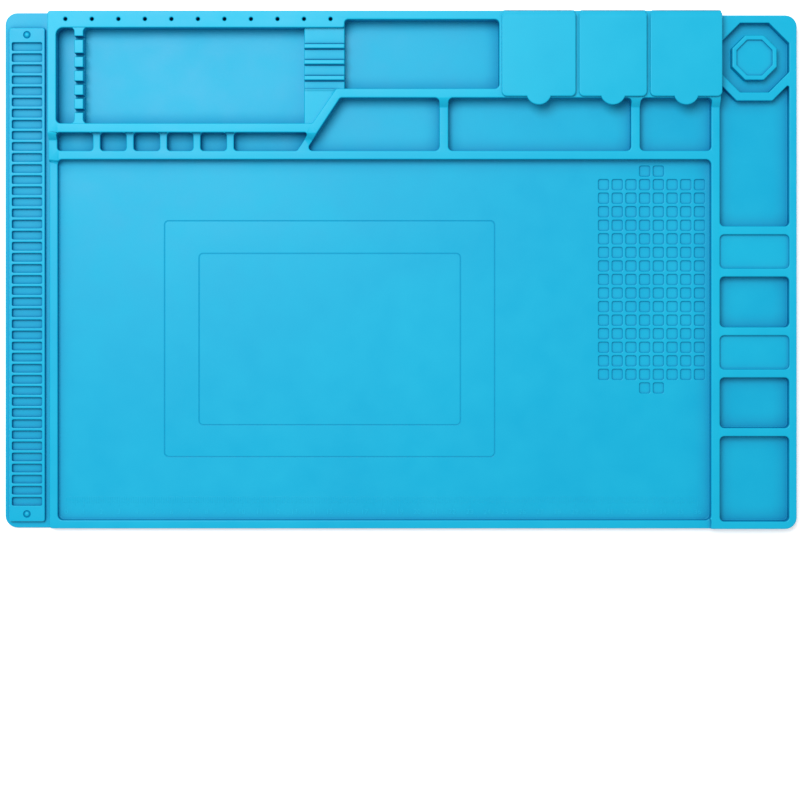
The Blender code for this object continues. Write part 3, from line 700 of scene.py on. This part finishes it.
def long_outline(front):
    """The long side tray; its rear end follows the octagonal well's band."""
    flat = BAND_HALF * math.tan(math.pi / 8)
    y = OCTAGON_Y - BAND_HALF
    left_y = y + (OCTAGON_X - flat - COLUMN_TRAY_LEFT)
    right_y = y + (COLUMN_TRAY_RIGHT - OCTAGON_X - flat)
    return rounded([
        (COLUMN_TRAY_LEFT, front, POCKET_CORNER),
        (COLUMN_TRAY_RIGHT, front, POCKET_CORNER),
        (COLUMN_TRAY_RIGHT, right_y, BAND_END_CORNER),
        (OCTAGON_X + flat, y, BAND_CORNER),
        (OCTAGON_X - flat, y, BAND_CORNER),
        (COLUMN_TRAY_LEFT, left_y, BAND_END_CORNER),
    ])


def side_hollows():
    """(outline, floor) of each plain hollow of the side column, from the front backwards."""
    made = []
    front = FRONT + COLUMN_RIM
    side = (SIDE_TRAY_DEPTH, FLOOR)
    magnetic = (MAGNET_TRAY_DEPTH, MAGNET_FLOOR)
    for depth, floor in ((FRONT_TRAY_DEPTH, FLOOR), side, magnetic, side, magnetic):
        sides = (COLUMN_TRAY_LEFT, COLUMN_TRAY_RIGHT)
        made.append((rectangle(*sides, front, front + depth, POCKET_CORNER), floor))
        front += depth + COLUMN_DIVIDER
    made.append((long_outline(front), FLOOR))
    return made


def octagon(half, corner):
    """An octagon about the well's middle, with small rounded corners."""
    corners = regular(8, half, OCTAGON_X, OCTAGON_Y)
    return rounded([(p.x, p.y, corner) for p in corners], 2)


# -------------------- the work floor's details
FRAME_CORNER = 0.0023
FRAME_GROOVE = 0.00090
FRAME_DEPTH = 0.00034
OUTER_FRAME = (-0.1342, 0.0540, -0.1063, 0.0282)
INNER_FRAME = (-0.1145, 0.0345, -0.0881, 0.0096)
GRID_COLUMNS = 8
GRID_ROWS = 15
GRID_PITCH_X = 0.00782
GRID_PITCH_Y = 0.00773
GRID_CELL = 0.0060
GRID_CELL_DEPTH = 0.0009
GRID_MARGIN = 0.0010
GRID_CORNER = 0.0010
GRID_LIP = 0.00045
SMALL_FOOT = 0.0003
GRID_EXTRA_COLUMNS = (3, 4)
# (place across the groove from its outer edge, share of its depth)
GROOVE_PROFILE = ((1.0, 0.0), (0.72, 0.35), (0.3, 1.0), (-0.3, 1.0), (-0.72, 0.35), (-1.0, 0.0))


def groove(skin, box):
    """A shallow groove round a rectangle. Gives its outer ring and its inner ring."""
    middle = rectangle(*box, FRAME_CORNER)
    rings = []
    for place, share in GROOVE_PROFILE:
        outline = grow(middle, place * FRAME_GROOVE / 2)
        rings.append(skin.ring(outline, FLOOR - FRAME_DEPTH * share))
    for first, second in zip(rings, rings[1:]):
        skin.band(first, second)
    return rings[0], rings[-1]


def grid_cells(skin):
    """The screw grid's recesses. Gives their rim rings."""
    low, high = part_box("screw_grid")
    rings = []
    for row in range(GRID_ROWS + 2):
        end_row = row in (0, GRID_ROWS + 1)
        columns = GRID_EXTRA_COLUMNS if end_row else range(GRID_COLUMNS)
        rear = high.y - GRID_MARGIN - row * GRID_PITCH_Y
        for column in columns:
            left = low.x + GRID_MARGIN + column * GRID_PITCH_X
            ends = (rear - GRID_CELL, rear)
            outline = rectangle(left, left + GRID_CELL, *ends, GRID_CORNER, 3)
            floor = FLOOR - GRID_CELL_DEPTH
            rings.append(skin.well(outline, FLOOR, floor, GRID_LIP, SMALL_FOOT)[0])
    return rings


def work_floor(skin, ring):
    """The work area's floor inside ring, with the engraved frames and the screw grid."""
    outer, between_outer = groove(skin, OUTER_FRAME)
    between_inner, inner = groove(skin, INNER_FRAME)
    skin.plate(ring, [outer, *grid_cells(skin)])
    skin.plate(between_outer, [between_inner])
    skin.cap(inner)


# -------------------- the block
BIT_PITCH = 0.01498
BIT_FIRST = 0.0102
BIT_HOLES = 11
BIT_RADIUS = 0.0010
BIT_DEPTH = 0.0070
BIT_LIP = 0.00065
BIT_REAR_INSET = 0.0047
BIT_SIDES = 16
NOTCH_CORNER = 0.0003
TOOL_CORNER = 0.0008
SEAT_GAP = 0.0003
SEAT_CORNER = 0.0008


def block_outline():
    """The block in plan: all of the mat but the strip along its left edge."""
    return rounded([
        (BLOCK_LEFT, FRONT, BLOCK_CORNER),
        (RIGHT, FRONT, COLUMN_CORNER),
        (RIGHT, COLUMN_REAR, COLUMN_CORNER),
        (TOOL_RIGHT, COLUMN_REAR, NOTCH_CORNER),
        (TOOL_RIGHT, REAR, TOOL_CORNER),
        (BLOCK_LEFT, REAR, BLOCK_CORNER),
    ])


def block(finish):
    """The mat's moulded block, with every hollow cut into it and the magnets' seats below."""
    skin = Skin()
    outer, base = skin.bank(block_outline(), rim_height, 0.0, rows=ROWS)
    holes = [skin.well(tool_hollows(), rim_height, FLOOR, rows=ROWS)[0]]
    for left, right in COMPARTMENT_SPANS:
        outline = rectangle(left, right, SMALL_TRAY_FRONT, SMALL_TRAY_REAR, POCKET_CORNER)
        holes.append(skin.well(outline, rim_height, FLOOR, rows=ROWS)[0])
    for outline in slim_hollows() + parts_hollows():
        holes.append(skin.well(outline, rim_height, FLOOR, rows=ROWS)[0])
    for outline, floor in side_hollows():
        holes.append(skin.well(outline, rim_height, floor, rows=ROWS)[0])
    well = octagon(OCTAGON_HALF, OCTAGON_CORNER)
    holes.append(skin.well(well, rim_height, FLOOR, rows=ROWS)[0])
    for index in range(BIT_HOLES):
        x = BLOCK_LEFT + BIT_FIRST + index * BIT_PITCH
        outline = regular(BIT_SIDES, BIT_RADIUS, x, REAR - BIT_REAR_INSET)
        hole = skin.well(outline, TOOL_RIM, TOOL_RIM - BIT_DEPTH, BIT_LIP, SMALL_FOOT)
        holes.append(hole[0])
    work = rectangle(WORK_LEFT, COLUMN_LEFT, WORK_FRONT, WORK_REAR, WORK_CORNER)
    rim, floor_ring = skin.well(work, rim_height, FLOOR, cap=False, rows=ROWS)
    holes.append(rim)
    work_floor(skin, floor_ring)
    skin.plate(outer, holes, rim_height, rim_places())
    seats = []
    for node in ("magnet_1", "magnet_2"):
        low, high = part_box(node)
        sides = (low.x - SEAT_GAP, high.x + SEAT_GAP)
        ends = (low.y - SEAT_GAP, high.y + SEAT_GAP)
        seat = rectangle(*sides, *ends, SEAT_CORNER)
        mouth = skin.ring(seat, 0.0)
        roof = skin.ring(seat, high.z + SEAT_GAP)
        skin.band(mouth, roof)
        skin.cap(roof)
        seats.append(mouth)
    skin.plate(base, seats)
    made = skin.piece("moulded_block", finish)
    rows = ("compartment_", "parts_tray_", "side_tray_")
    names = [name for name in frame["nodes"] if name.startswith(rows)]
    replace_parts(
        made, "bit_rail", "big_tool_tray", "small_tool_tray", "slim_pockets", "work_surface",
        "screw_grid", "octagon_tray", "long_tray", "magnet_tray_1", "magnet_tray_2", *names
    )


# -------------------- ruler
RULER_START = -0.1902
RULER_LENGTH = 360
MILLIMETRE = 0.001
CENTIMETRE_TICK = 0.0056
HALF_TICK = 0.0047
PLAIN_TICK = 0.0036
TICK_REAR = -0.1290
TICK_WIDTH = 0.00030
MARK_HEIGHT = 0.00014
MARK_SUNK = 0.0001
NUMERAL_SIZE = 0.0042
NUMERAL_MIDDLE = -0.1377


def tick(made, x, length):
    """One raised mark: a thin bar with a narrower crown."""
    half = TICK_WIDTH / 2
    front = TICK_REAR - length
    foot = rectangle(x - half, x + half, front, TICK_REAR)
    crown = rectangle(x - half / 2, x + half / 2, front + half, TICK_REAR - half)
    low = [made.verts.new((p.x, p.y, FLOOR - MARK_SUNK)) for p in foot]
    shoulder = [made.verts.new((p.x, p.y, FLOOR + MARK_HEIGHT * 0.6)) for p in foot]
    top = [made.verts.new((p.x, p.y, FLOOR + MARK_HEIGHT)) for p in crown]
    for first, second in ((low, shoulder), (shoulder, top)):
        for k in range(4):
            made.faces.new((first[k], first[k - 3], second[k - 3], second[k]))
    made.faces.new(top)
    made.faces.new(low[::-1])


def numeral(made, number):
    """One raised centimetre number."""
    curve = bpy.data.curves.new(f"numeral_{number}", "FONT")
    curve.body = str(number)
    curve.size = NUMERAL_SIZE
    curve.align_x = "CENTER"
    curve.align_y = "CENTER"
    curve.extrude = (MARK_HEIGHT + MARK_SUNK) / 2
    curve.resolution_u = 3
    text = bpy.data.objects.new(f"numeral_{number}", curve)
    x = RULER_START + number * 10 * MILLIMETRE
    text.location = (x, NUMERAL_MIDDLE, FLOOR + (MARK_HEIGHT - MARK_SUNK) / 2)
    bpy.context.scene.collection.objects.link(text)
    bpy.context.view_layer.update()
    graph = bpy.context.evaluated_depsgraph_get()
    flat = bpy.data.meshes.new_from_object(text.evaluated_get(graph))
    flat.transform(text.matrix_world)
    made.from_mesh(flat)
    bpy.data.objects.remove(text)
    bpy.data.curves.remove(curve)
    bpy.data.meshes.remove(flat)


def ruler(finish):
    """Raised millimetre marks and centimetre numerals along the work floor's front."""
    made = bmesh.new()
    for step in range(RULER_LENGTH + 1):
        length = HALF_TICK if step % 5 == 0 else PLAIN_TICK
        if step % 10 == 0:
            length = CENTIMETRE_TICK
        tick(made, RULER_START + step * MILLIMETRE, length)
    for number in range(RULER_LENGTH // 10 + 1):
        numeral(made, number)
    data = bpy.data.meshes.new("ruler_marks")
    bmesh.ops.recalc_face_normals(made, faces=made.faces)
    made.to_mesh(data)
    made.free()
    data.materials.append(finish)
    marks = bpy.data.objects.new("ruler_marks", data)
    bpy.context.scene.collection.objects.link(marks)
    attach(marks, "mat")


# -------------------- slotted rail
STRIP_CORNER = 0.0069
RAIL_INSET = 0.0026
RAIL_GUTTER = 0.0028
RAIL_TOP = 0.0046
RAIL_REAR_INSET = 0.0087
RAIL_FRONT_INSET = 0.0038
RAIL_CORNER = 0.0014
RAIL_EDGE = 0.0005
SLOT_COUNT = 42
SLOT_PITCH = 0.00631
SLOT_WIDTH = 0.0047
SLOT_SIDE = 0.0017
SLOT_FLOOR = 0.0024
SLOT_FIRST = 0.0107
SLOT_CORNER = 0.0007
SLOT_EDGE = 0.0004
NUB_RADIUS = 0.0022
NUB_REAR_INSET = 0.0040
NUB_FRONT_INSET = 0.0043
NUB_SIDES = 24
# (share of the radius, height over the rail), from the moat round the nub to its crown
NUB_PROFILE = ((1.0, 0.0), (0.93, -0.00025), (0.80, -0.00055), (0.68, -0.00035),
               (0.60, 0.0), (0.45, 0.00032), (0.22, 0.00048))


def slotted_rail(finish):
    """The low strip along the left edge, and the rail on it with its slots and two nubs."""
    skin = Skin()
    right = BLOCK_LEFT + BLOCK_CORNER
    strip = rectangle(LEFT, right, FRONT, REAR, (STRIP_CORNER, 0.0, 0.0, STRIP_CORNER), 8)
    outer, base = skin.bank(strip, FLOOR, 0.0, RAIL_EDGE)
    skin.cap(base)
    left = LEFT + RAIL_INSET
    right = BLOCK_LEFT - RAIL_GUTTER
    rear = REAR - RAIL_REAR_INSET
    front = FRONT + RAIL_FRONT_INSET
    rail = rectangle(left, right, front, rear, RAIL_CORNER)
    crown, toe = skin.bank(rail, RAIL_TOP, FLOOR, RAIL_EDGE, SMALL_FOOT)
    skin.plate(outer, [toe])
    holes = []
    for index in range(SLOT_COUNT):
        middle = rear - SLOT_FIRST - index * SLOT_PITCH
        ends = (middle - SLOT_WIDTH / 2, middle + SLOT_WIDTH / 2)
        slot = rectangle(left + SLOT_SIDE, right - SLOT_SIDE, *ends, SLOT_CORNER, 3)
        holes.append(skin.well(slot, RAIL_TOP, SLOT_FLOOR, SLOT_EDGE, SLOT_EDGE)[0])
    for y in (rear - NUB_REAR_INSET, front + NUB_FRONT_INSET):
        x = (left + right) / 2
        rings = []
        for share, rise in NUB_PROFILE:
            circle = regular(NUB_SIDES, NUB_RADIUS * share, x, y)
            rings.append(skin.ring(circle, RAIL_TOP + rise))
        for first, second in zip(rings, rings[1:]):
            skin.band(first, second)
        skin.cap(rings[-1])
        holes.append(rings[0])
    skin.plate(crown, holes)
    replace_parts(skin.piece("rail_strip", finish), "slot_rail")


# -------------------- comb and ridged rest
def swept(name, finish, profile, start, end, along, node, body="mat"):
    """A closed bar: the profile, (place, height) points, drawn from start to end."""
    skin = Skin()
    rings = []
    for where in (start, end):
        ring = []
        for place, height in profile:
            x, y = (where, place) if along == "x" else (place, where)
            ring.append(skin.mesh.verts.new((x, y, height)))
        rings.append(ring)
    skin.band(*rings)
    skin.cap(rings[0])
    skin.cap(rings[1])
    made = skin.piece(name, finish, body)
    if node:
        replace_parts(made, node)
    return made


BURIED = 0.0009
STAND_DEPTH = 0.0003
FLARE_STEPS = 6
FLARE_LIP = 0.0004
FLARE_DROP = 0.00003
COMB_EDGE = 0.0005
COMB_FLARE = 0.0021
COMB_NOTCH = 0.0021
COMB_NOTCH_DEPTH = 0.0060
COMB_NOTCH_FOOT = 0.0006
COMB_PLACES = (0.0058, 0.0154, 0.0233, 0.0312, 0.0391, 0.0470)


def comb_flare(left, right, wall, way):
    """Plan of the comb's end, which widens in two hollow curves where it meets the wall."""
    curve = []
    for step in range(FLARE_STEPS + 1):
        angle = math.pi / 2 * step / FLARE_STEPS
        out = COMB_FLARE * (1 - math.cos(angle))
        curve.append((out, wall - way * COMB_FLARE * (1 - math.sin(angle))))
    behind = wall + way * BURIED
    outline = [Vector((right + out, y)) for out, y in curve]
    outline += [Vector((right + COMB_FLARE, behind)), Vector((left - COMB_FLARE, behind))]
    outline += [Vector((left - out, y)) for out, y in reversed(curve)]
    return outline if way > 0 else outline[::-1]


def comb_line(low, high, top, deep):
    """(place along the comb, height) of its upper edge, from notch to notch."""
    half = COMB_NOTCH / 2
    bevel = COMB_EDGE * 0.3
    side = [(half * 0.4, deep), (half, deep + COMB_NOTCH_FOOT), (half, top - COMB_EDGE),
            (half + bevel, top - bevel), (half + COMB_EDGE, top)]
    line = [(low - BURIED, top)]
    for place in reversed(COMB_PLACES):
        middle = BIG_TRAY_REAR - place
        line += [(middle - out, z) for out, z in reversed(side)]
        line += [(middle + out, z) for out, z in side]
    return [*line, (high + BURIED, top)]


def blade_comb(finish):
    """The notched bar across the big tool tray. Its teeth have rounded tops."""
    low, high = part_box("blade_comb")
    top = high.z
    deep = top - COMB_NOTCH_DEPTH
    base = FLOOR - STAND_DEPTH
    line = comb_line(low.y, high.y, top, deep)
    skin = Skin()
    stations = [(low.x, COMB_EDGE), (low.x + COMB_EDGE * 0.3, COMB_EDGE * 0.3),
                (low.x + COMB_EDGE, 0.0)]
    stations += [(low.x + high.x - x, inset) for x, inset in reversed(stations)]
    rings = []
    for x, inset in stations:
        ring = []
        for y, z in line:
            ring.append(skin.mesh.verts.new((x, y, z - (inset if z > deep + 0.001 else 0))))
        for y in (line[-1][0], line[0][0]):
            ring.append(skin.mesh.verts.new((x, y, base)))
        rings.append(ring)
    for first, second in zip(rings, rings[1:]):
        skin.band(first, second)
    skin.cap(rings[0])
    skin.cap(rings[-1])
    for wall, way in ((BIG_TRAY_REAR, 1), (BIG_TRAY_FRONT, -1)):
        outline = comb_flare(low.x, high.x, wall, way)
        crown, toe = skin.bank(outline, top - FLARE_DROP, base, FLARE_LIP)
        skin.cap(crown)
        skin.cap(toe)
    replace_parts(skin.piece("comb", finish), "blade_comb")


REST_LEVEL = 0.0089
PLATEAU_LEVEL = 0.0103
RIDGE_LEVEL = 0.0111
RIDGE_FIRST = 0.0104
RIDGE_PITCH = 0.0090
RIDGE_COUNT = 3
RIDGE_HALF = 0.0014
RIDGE_POWER = 8
CREASE_WIDTH = 0.0005
CREASE_DEPTH = 0.0003
LEDGE = SMALL_TRAY_FRONT - 0.0011
LEDGE_WIDTH = 0.0012
LEDGE_RISE = 0.0004
BEAD_WIDTH = 0.0008
BEAD_HEIGHT = 0.0003
REST_EDGE = 0.0006
REST_BURIED = 0.0008
REST_PITCH = 0.00022
REST_COLUMNS = 10
NOSE_START = SMALL_TRAY_FRONT - 0.0035
NOSE_END = BIG_WALL_FRONT + 0.0020
NOSE_ROWS = 14
NOSE_WIDTH = 0.0030
SLANT_OVERLAP = 0.0012


def rest_height(y):
    """Height of the rest's saddle along Y: rounded ridges across a shallow bed."""
    height = REST_LEVEL
    for index in range(RIDGE_COUNT):
        past = abs(y - (BIG_TRAY_REAR - RIDGE_FIRST - index * RIDGE_PITCH))
        if past < RIDGE_HALF:
            share = math.sqrt(1 - (past / RIDGE_HALF) ** RIDGE_POWER)
            height = REST_LEVEL + (RIDGE_LEVEL - REST_LEVEL) * share
        elif past < RIDGE_HALF + CREASE_WIDTH:
            height = REST_LEVEL - CREASE_DEPTH
    if y < LEDGE + LEDGE_WIDTH:
        share = min(1.0, (LEDGE + LEDGE_WIDTH - y) / LEDGE_RISE)
        height = REST_LEVEL + (PLATEAU_LEVEL - REST_LEVEL) * share
        if LEDGE < y < LEDGE + BEAD_WIDTH:
            height += BEAD_HEIGHT
    return height


def rest_rows():
    """The places in Y that the rest is drawn through: close together over its ridges."""
    rows = []
    y = BIG_TRAY_REAR + REST_BURIED
    while y > NOSE_START:
        rows.append(y)
        y -= REST_PITCH
    last = rows[-1]
    rows += [last + (NOSE_END - last) * (k + 1) / NOSE_ROWS for k in range(NOSE_ROWS)]
    return rows


def rest_line(y):
    """(x, drop below the rest's height) across the rest at one place in Y."""
    sides = []
    for share in (0.0, 0.25, 0.62, 1.0):
        drop = REST_EDGE * (1 - math.sqrt(1 - (1 - share) ** 2))
        sides.append((REST_EDGE * share, drop))
    right = REST_RIGHT
    if y <= SMALL_TRAY_FRONT:
        beside = slant_x(y) - SLANT_WIDTH + SLANT_OVERLAP
        right = min(REST_RIGHT, max(REST_LEFT + NOSE_WIDTH, beside))
    line = [(REST_LEFT + inset, drop) for inset, drop in sides]
    width = right - REST_LEFT - 2 * REST_EDGE
    for k in range(1, REST_COLUMNS):
        line.append((REST_LEFT + REST_EDGE + width * k / REST_COLUMNS, 0.0))
    return line + [(right - inset, drop) for inset, drop in reversed(sides)]


def ridged_rest(finish):
    """The saddle between the tool trays: three ridges, and a ledge down to the slanted wall."""
    skin = Skin()
    base = FLOOR - STAND_DEPTH
    upper = []
    lower = []
    for y in rest_rows():
        line = rest_line(y)
        height = rest_height(y)
        upper.append([skin.mesh.verts.new((x, y, height - drop)) for x, drop in line])
        lower.append([skin.mesh.verts.new((line[k][0], y, base)) for k in (0, -1)])
    for first, second, low_1, low_2 in zip(upper, upper[1:], lower, lower[1:]):
        for k in range(len(first) - 1):
            skin.mesh.faces.new((first[k], first[k + 1], second[k + 1], second[k]))
        skin.mesh.faces.new((first[0], second[0], low_2[0], low_1[0]))
        skin.mesh.faces.new((first[-1], low_1[1], low_2[1], second[-1]))
        skin.mesh.faces.new((low_1[0], low_2[0], low_2[1], low_1[1]))
    for ring, low_pair in ((upper[0], lower[0]), (upper[-1], lower[-1])):
        skin.mesh.faces.new([*ring, low_pair[1], low_pair[0]])
    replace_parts(skin.piece("saddle_rest", finish, sharp=40), "ridged_rest")


# -------------------- octagonal post
POST_HALF = 0.01265
DISH_HALF = 0.0101
DISH_DEPTH = 0.0014
POST_CORNER = 0.0007
POST_FOOT = 0.0004
DISH_LIP = 0.0004


def octagon_post(finish):
    """The post in the octagonal well, with a shallow dish in its top."""
    skin = Skin()
    outline = octagon(POST_HALF, POST_CORNER)
    crown, toe = skin.bank(outline, TRAY_RIM, FLOOR, LIP, POST_FOOT)
    skin.cap(toe)
    dish = octagon(DISH_HALF, POST_CORNER)
    rim, _ = skin.well(dish, TRAY_RIM, TRAY_RIM - DISH_DEPTH, DISH_LIP, SMALL_FOOT)
    skin.plate(crown, [rim])
    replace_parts(skin.piece("post", finish), "octagon_post")


# -------------------- lids and their webs
LID_THICKNESS = 0.0022
LID_EDGE = 0.0005
LID_CORNER = 0.0028
LID_REAR_CORNER = 0.0008
TAB_RADIUS = 0.0072
TAB_REACH = 0.0048
TAB_STEPS = 22
PLUG_CLEARANCE = 0.0008
PLUG_CORNER = 0.0025
PLUG_NOTCH = 0.0011
PLUG_NOTCH_PLACE = 0.0310
PLUG_NOTCH_STEPS = 6
PLUG_NECK = 0.0003
ROLL_LENGTH = 0.0037
ROLL_TAIL = 0.0003
ROLL_DROP = 0.0015
ROLL_STEPS = 8
WEB_HALF = 0.0005
WEB_STEPS = 6
TONGUE_REACH = 0.0012
TONGUE_INSET = 0.0010


def lid_outline(left, right, front, rear):
    """The lid's plate in plan, with its half-round pull tab in front."""
    middle = (left + right) / 2
    base = front + TAB_REACH
    half_angle = math.acos((TAB_RADIUS - TAB_REACH) / TAB_RADIUS)
    corners = rounded([
        (left, base, LID_CORNER), (middle, base, 0), (right, base, LID_CORNER),
        (right, rear, LID_REAR_CORNER), (left, rear, LID_REAR_CORNER),
    ])
    down = -math.pi / 2
    ends = (down - half_angle, down + half_angle)
    tab = arc(middle, front + TAB_RADIUS, TAB_RADIUS, *ends, TAB_STEPS)
    place = ARC_STEPS + 1
    return corners[:place] + tab + corners[place + 1:]


def plug_outline(left, right, front, rear, notch_y):
    """The plug's outline, with a small half-round notch in each long side."""
    corners = rectangle(left, right, front, rear, PLUG_CORNER)
    half = math.pi / 2
    right_notch = arc(right, notch_y, PLUG_NOTCH, -half, -3 * half, PLUG_NOTCH_STEPS)
    left_notch = arc(left, notch_y, PLUG_NOTCH, half, -half, PLUG_NOTCH_STEPS)
    place = 2 * (ARC_STEPS + 1)
    return corners[:place] + right_notch + corners[place:] + left_notch


def lid(index, finish):
    """A closed lid: its plate, which rolls off at the rear, and the plug under it."""
    node = f"lid_{index + 1}"
    body = ("left_lid", "middle_lid", "right_lid")[index]
    low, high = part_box(node)
    base = high.z - LID_THICKNESS
    roll_start = high.y - ROLL_LENGTH

    def top_height(y):
        past = max(0.0, y - roll_start) / (ROLL_LENGTH + ROLL_TAIL)
        return high.z - ROLL_DROP * (1 - math.sqrt(max(0.0, 1 - past * past)))

    skin = Skin()
    rows = [roll_start + ROLL_LENGTH * k / ROLL_STEPS for k in range(ROLL_STEPS)]
    outline = lid_outline(low.x, high.x, low.y, high.y)
    crown = split(grow(outline, -LIP), (), rows)
    upper, last = skin.lip_rings(crown, [top_height(p.y) for p in crown], LIP)
    last = skin.foot_rings(crown, last, base, LIP, -LID_EDGE)
    skin.plate(upper)
    left, right = COMPARTMENT_SPANS[index]
    plug = plug_outline(left + PLUG_CLEARANCE, right - PLUG_CLEARANCE,
                        SMALL_TRAY_FRONT + PLUG_CLEARANCE, SMALL_TRAY_REAR - PLUG_CLEARANCE,
                        hinge_point(body)[1] - PLUG_NOTCH_PLACE)
    neck = skin.ring(grow(plug, PLUG_NECK), base)
    ring = skin.ring(plug, base - PLUG_NECK)
    skin.band(neck, ring)
    skin.cap(skin.foot_rings(plug, ring, low.z, 0.0, -LID_EDGE, LIP_STEPS))
    skin.plate(last, [neck])
    made = skin.piece(f"{node}_plate", finish, body)
    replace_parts(made, node)
    hinge(index, finish, body, low.x, high.x, high.y)


def hinge_point(body):
    """The place of a lid's hinge."""
    return next(joint["pos_m"] for joint in frame["joints"] if joint["child"] == body)


def hinge(index, finish, body, left, right, rear):
    """The slender bending web: a strip on the mat, and the lid's tongue that meets it."""
    node = f"hinge_web_{index + 1}"
    low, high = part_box(node)
    y, z = hinge_point(body)[1:]
    half = WEB_HALF
    crest = arc(y, z, half, 0.0, math.pi, WEB_STEPS)
    strip = [(y - half, low.z), (y + half, low.z), *crest]
    web = swept(f"lid_{index + 1}_web", finish, strip, low.x, high.x, "x", node)
    nose = arc(y, z, half, math.pi / 2, -math.pi / 2, WEB_STEPS)
    root = rear - TONGUE_REACH
    profile = [(root, z + half), *nose, (root, z - half)]
    tongue = swept(f"lid_{index + 1}_tongue", finish, profile, left + TONGUE_INSET,
                   right - TONGUE_INSET, "x", None, body)


# -------------------- camera, light and floor
LENS = 78.45
SENSOR = 36.0
SHIFT = (-0.0015, -0.1625)
EYE = (0.0007, 0.0002, 0.994 + FLOOR)
KEY_POWER = 17.7
KEY_SIZE = 0.9
KEY_PLACE = (-0.36, 0.50, 1.35)
WORLD_LIGHT = 0.58
BENCH_GAP = 0.00005
BENCH_REACH = 3.0


def camera_and_light():
    """The view from straight above, one soft key light, an even world and the bench."""
    view = bpy.data.cameras.new("view")
    view.lens = LENS
    view.sensor_width = SENSOR
    view.shift_x, view.shift_y = SHIFT
    view.clip_start = 0.01
    camera = bpy.data.objects.new("view", view)
    camera.location = EYE
    bpy.context.scene.collection.objects.link(camera)
    bpy.context.scene.camera = camera
    key = bpy.data.lights.new("key", "AREA")
    key.energy = KEY_POWER
    key.shape = "DISK"
    key.size = KEY_SIZE
    lamp = bpy.data.objects.new("key", key)
    lamp.location = KEY_PLACE
    lamp.rotation_euler = (-lamp.location).to_track_quat("-Z", "Y").to_euler()
    bpy.context.scene.collection.objects.link(lamp)
    world = bpy.data.worlds.new("soft_light")
    world.use_nodes = True
    sky = world.node_tree.nodes["Background"]
    sky.inputs["Color"].default_value = (1.0, 1.0, 1.0, 1.0)
    sky.inputs["Strength"].default_value = WORLD_LIGHT
    bpy.context.scene.world = world
    bpy.context.scene.view_settings.view_transform = "Standard"
    floor_mesh = bpy.data.meshes.new("bench")
    corners = [(x * BENCH_REACH, y * BENCH_REACH, -BENCH_GAP)
               for x, y in ((-1, -1), (1, -1), (1, 1), (-1, 1))]
    floor_mesh.from_pydata(corners, [], [(0, 1, 2, 3)])
    floor_mesh.materials.append(backdrop_finish("pale_bench"))
    bench = bpy.data.objects.new("bench", floor_mesh)
    bpy.context.scene.collection.objects.link(bench)


# -------------------- the whole tray
SHADE = (0.0, 0.145, 0.345, 1)
MARK_SHADE = (0.0, 0.28, 0.51, 1)


def build():
    """Every finish and every piece; the hidden magnets keep the frame's own shape."""
    camera_and_light()
    blue = silicone("blue_silicone", (0.0, 0.368, 0.602, 1), (0.003, 0.458, 0.672, 1), SHADE)
    lid_blue = silicone(
        "lid_blue_silicone", (0.0, 0.350, 0.575, 1), (0.004, 0.425, 0.640, 1), SHADE, 0.37
    )
    # painted highlight: the raised marks get a paler copy of the silicone, with a paler shade
    # colour
    highlit_mark_blue = silicone(
        "mark_silicone_painted_highlight", (0.004, 0.420, 0.655, 1), (0.008, 0.490, 0.705, 1), MARK_SHADE
    )
    block(blue)
    ruler(highlit_mark_blue)
    slotted_rail(blue)
    blade_comb(blue)
    ridged_rest(blue)
    octagon_post(blue)
    for index in range(3):
        lid(index, lid_blue)
    dark = ferrite("ferrite_black")
    for node in ("magnet_1", "magnet_2"):
        magnet = frame["nodes"][node]
        magnet.data.materials.clear()
        magnet.data.materials.append(dark)


build()
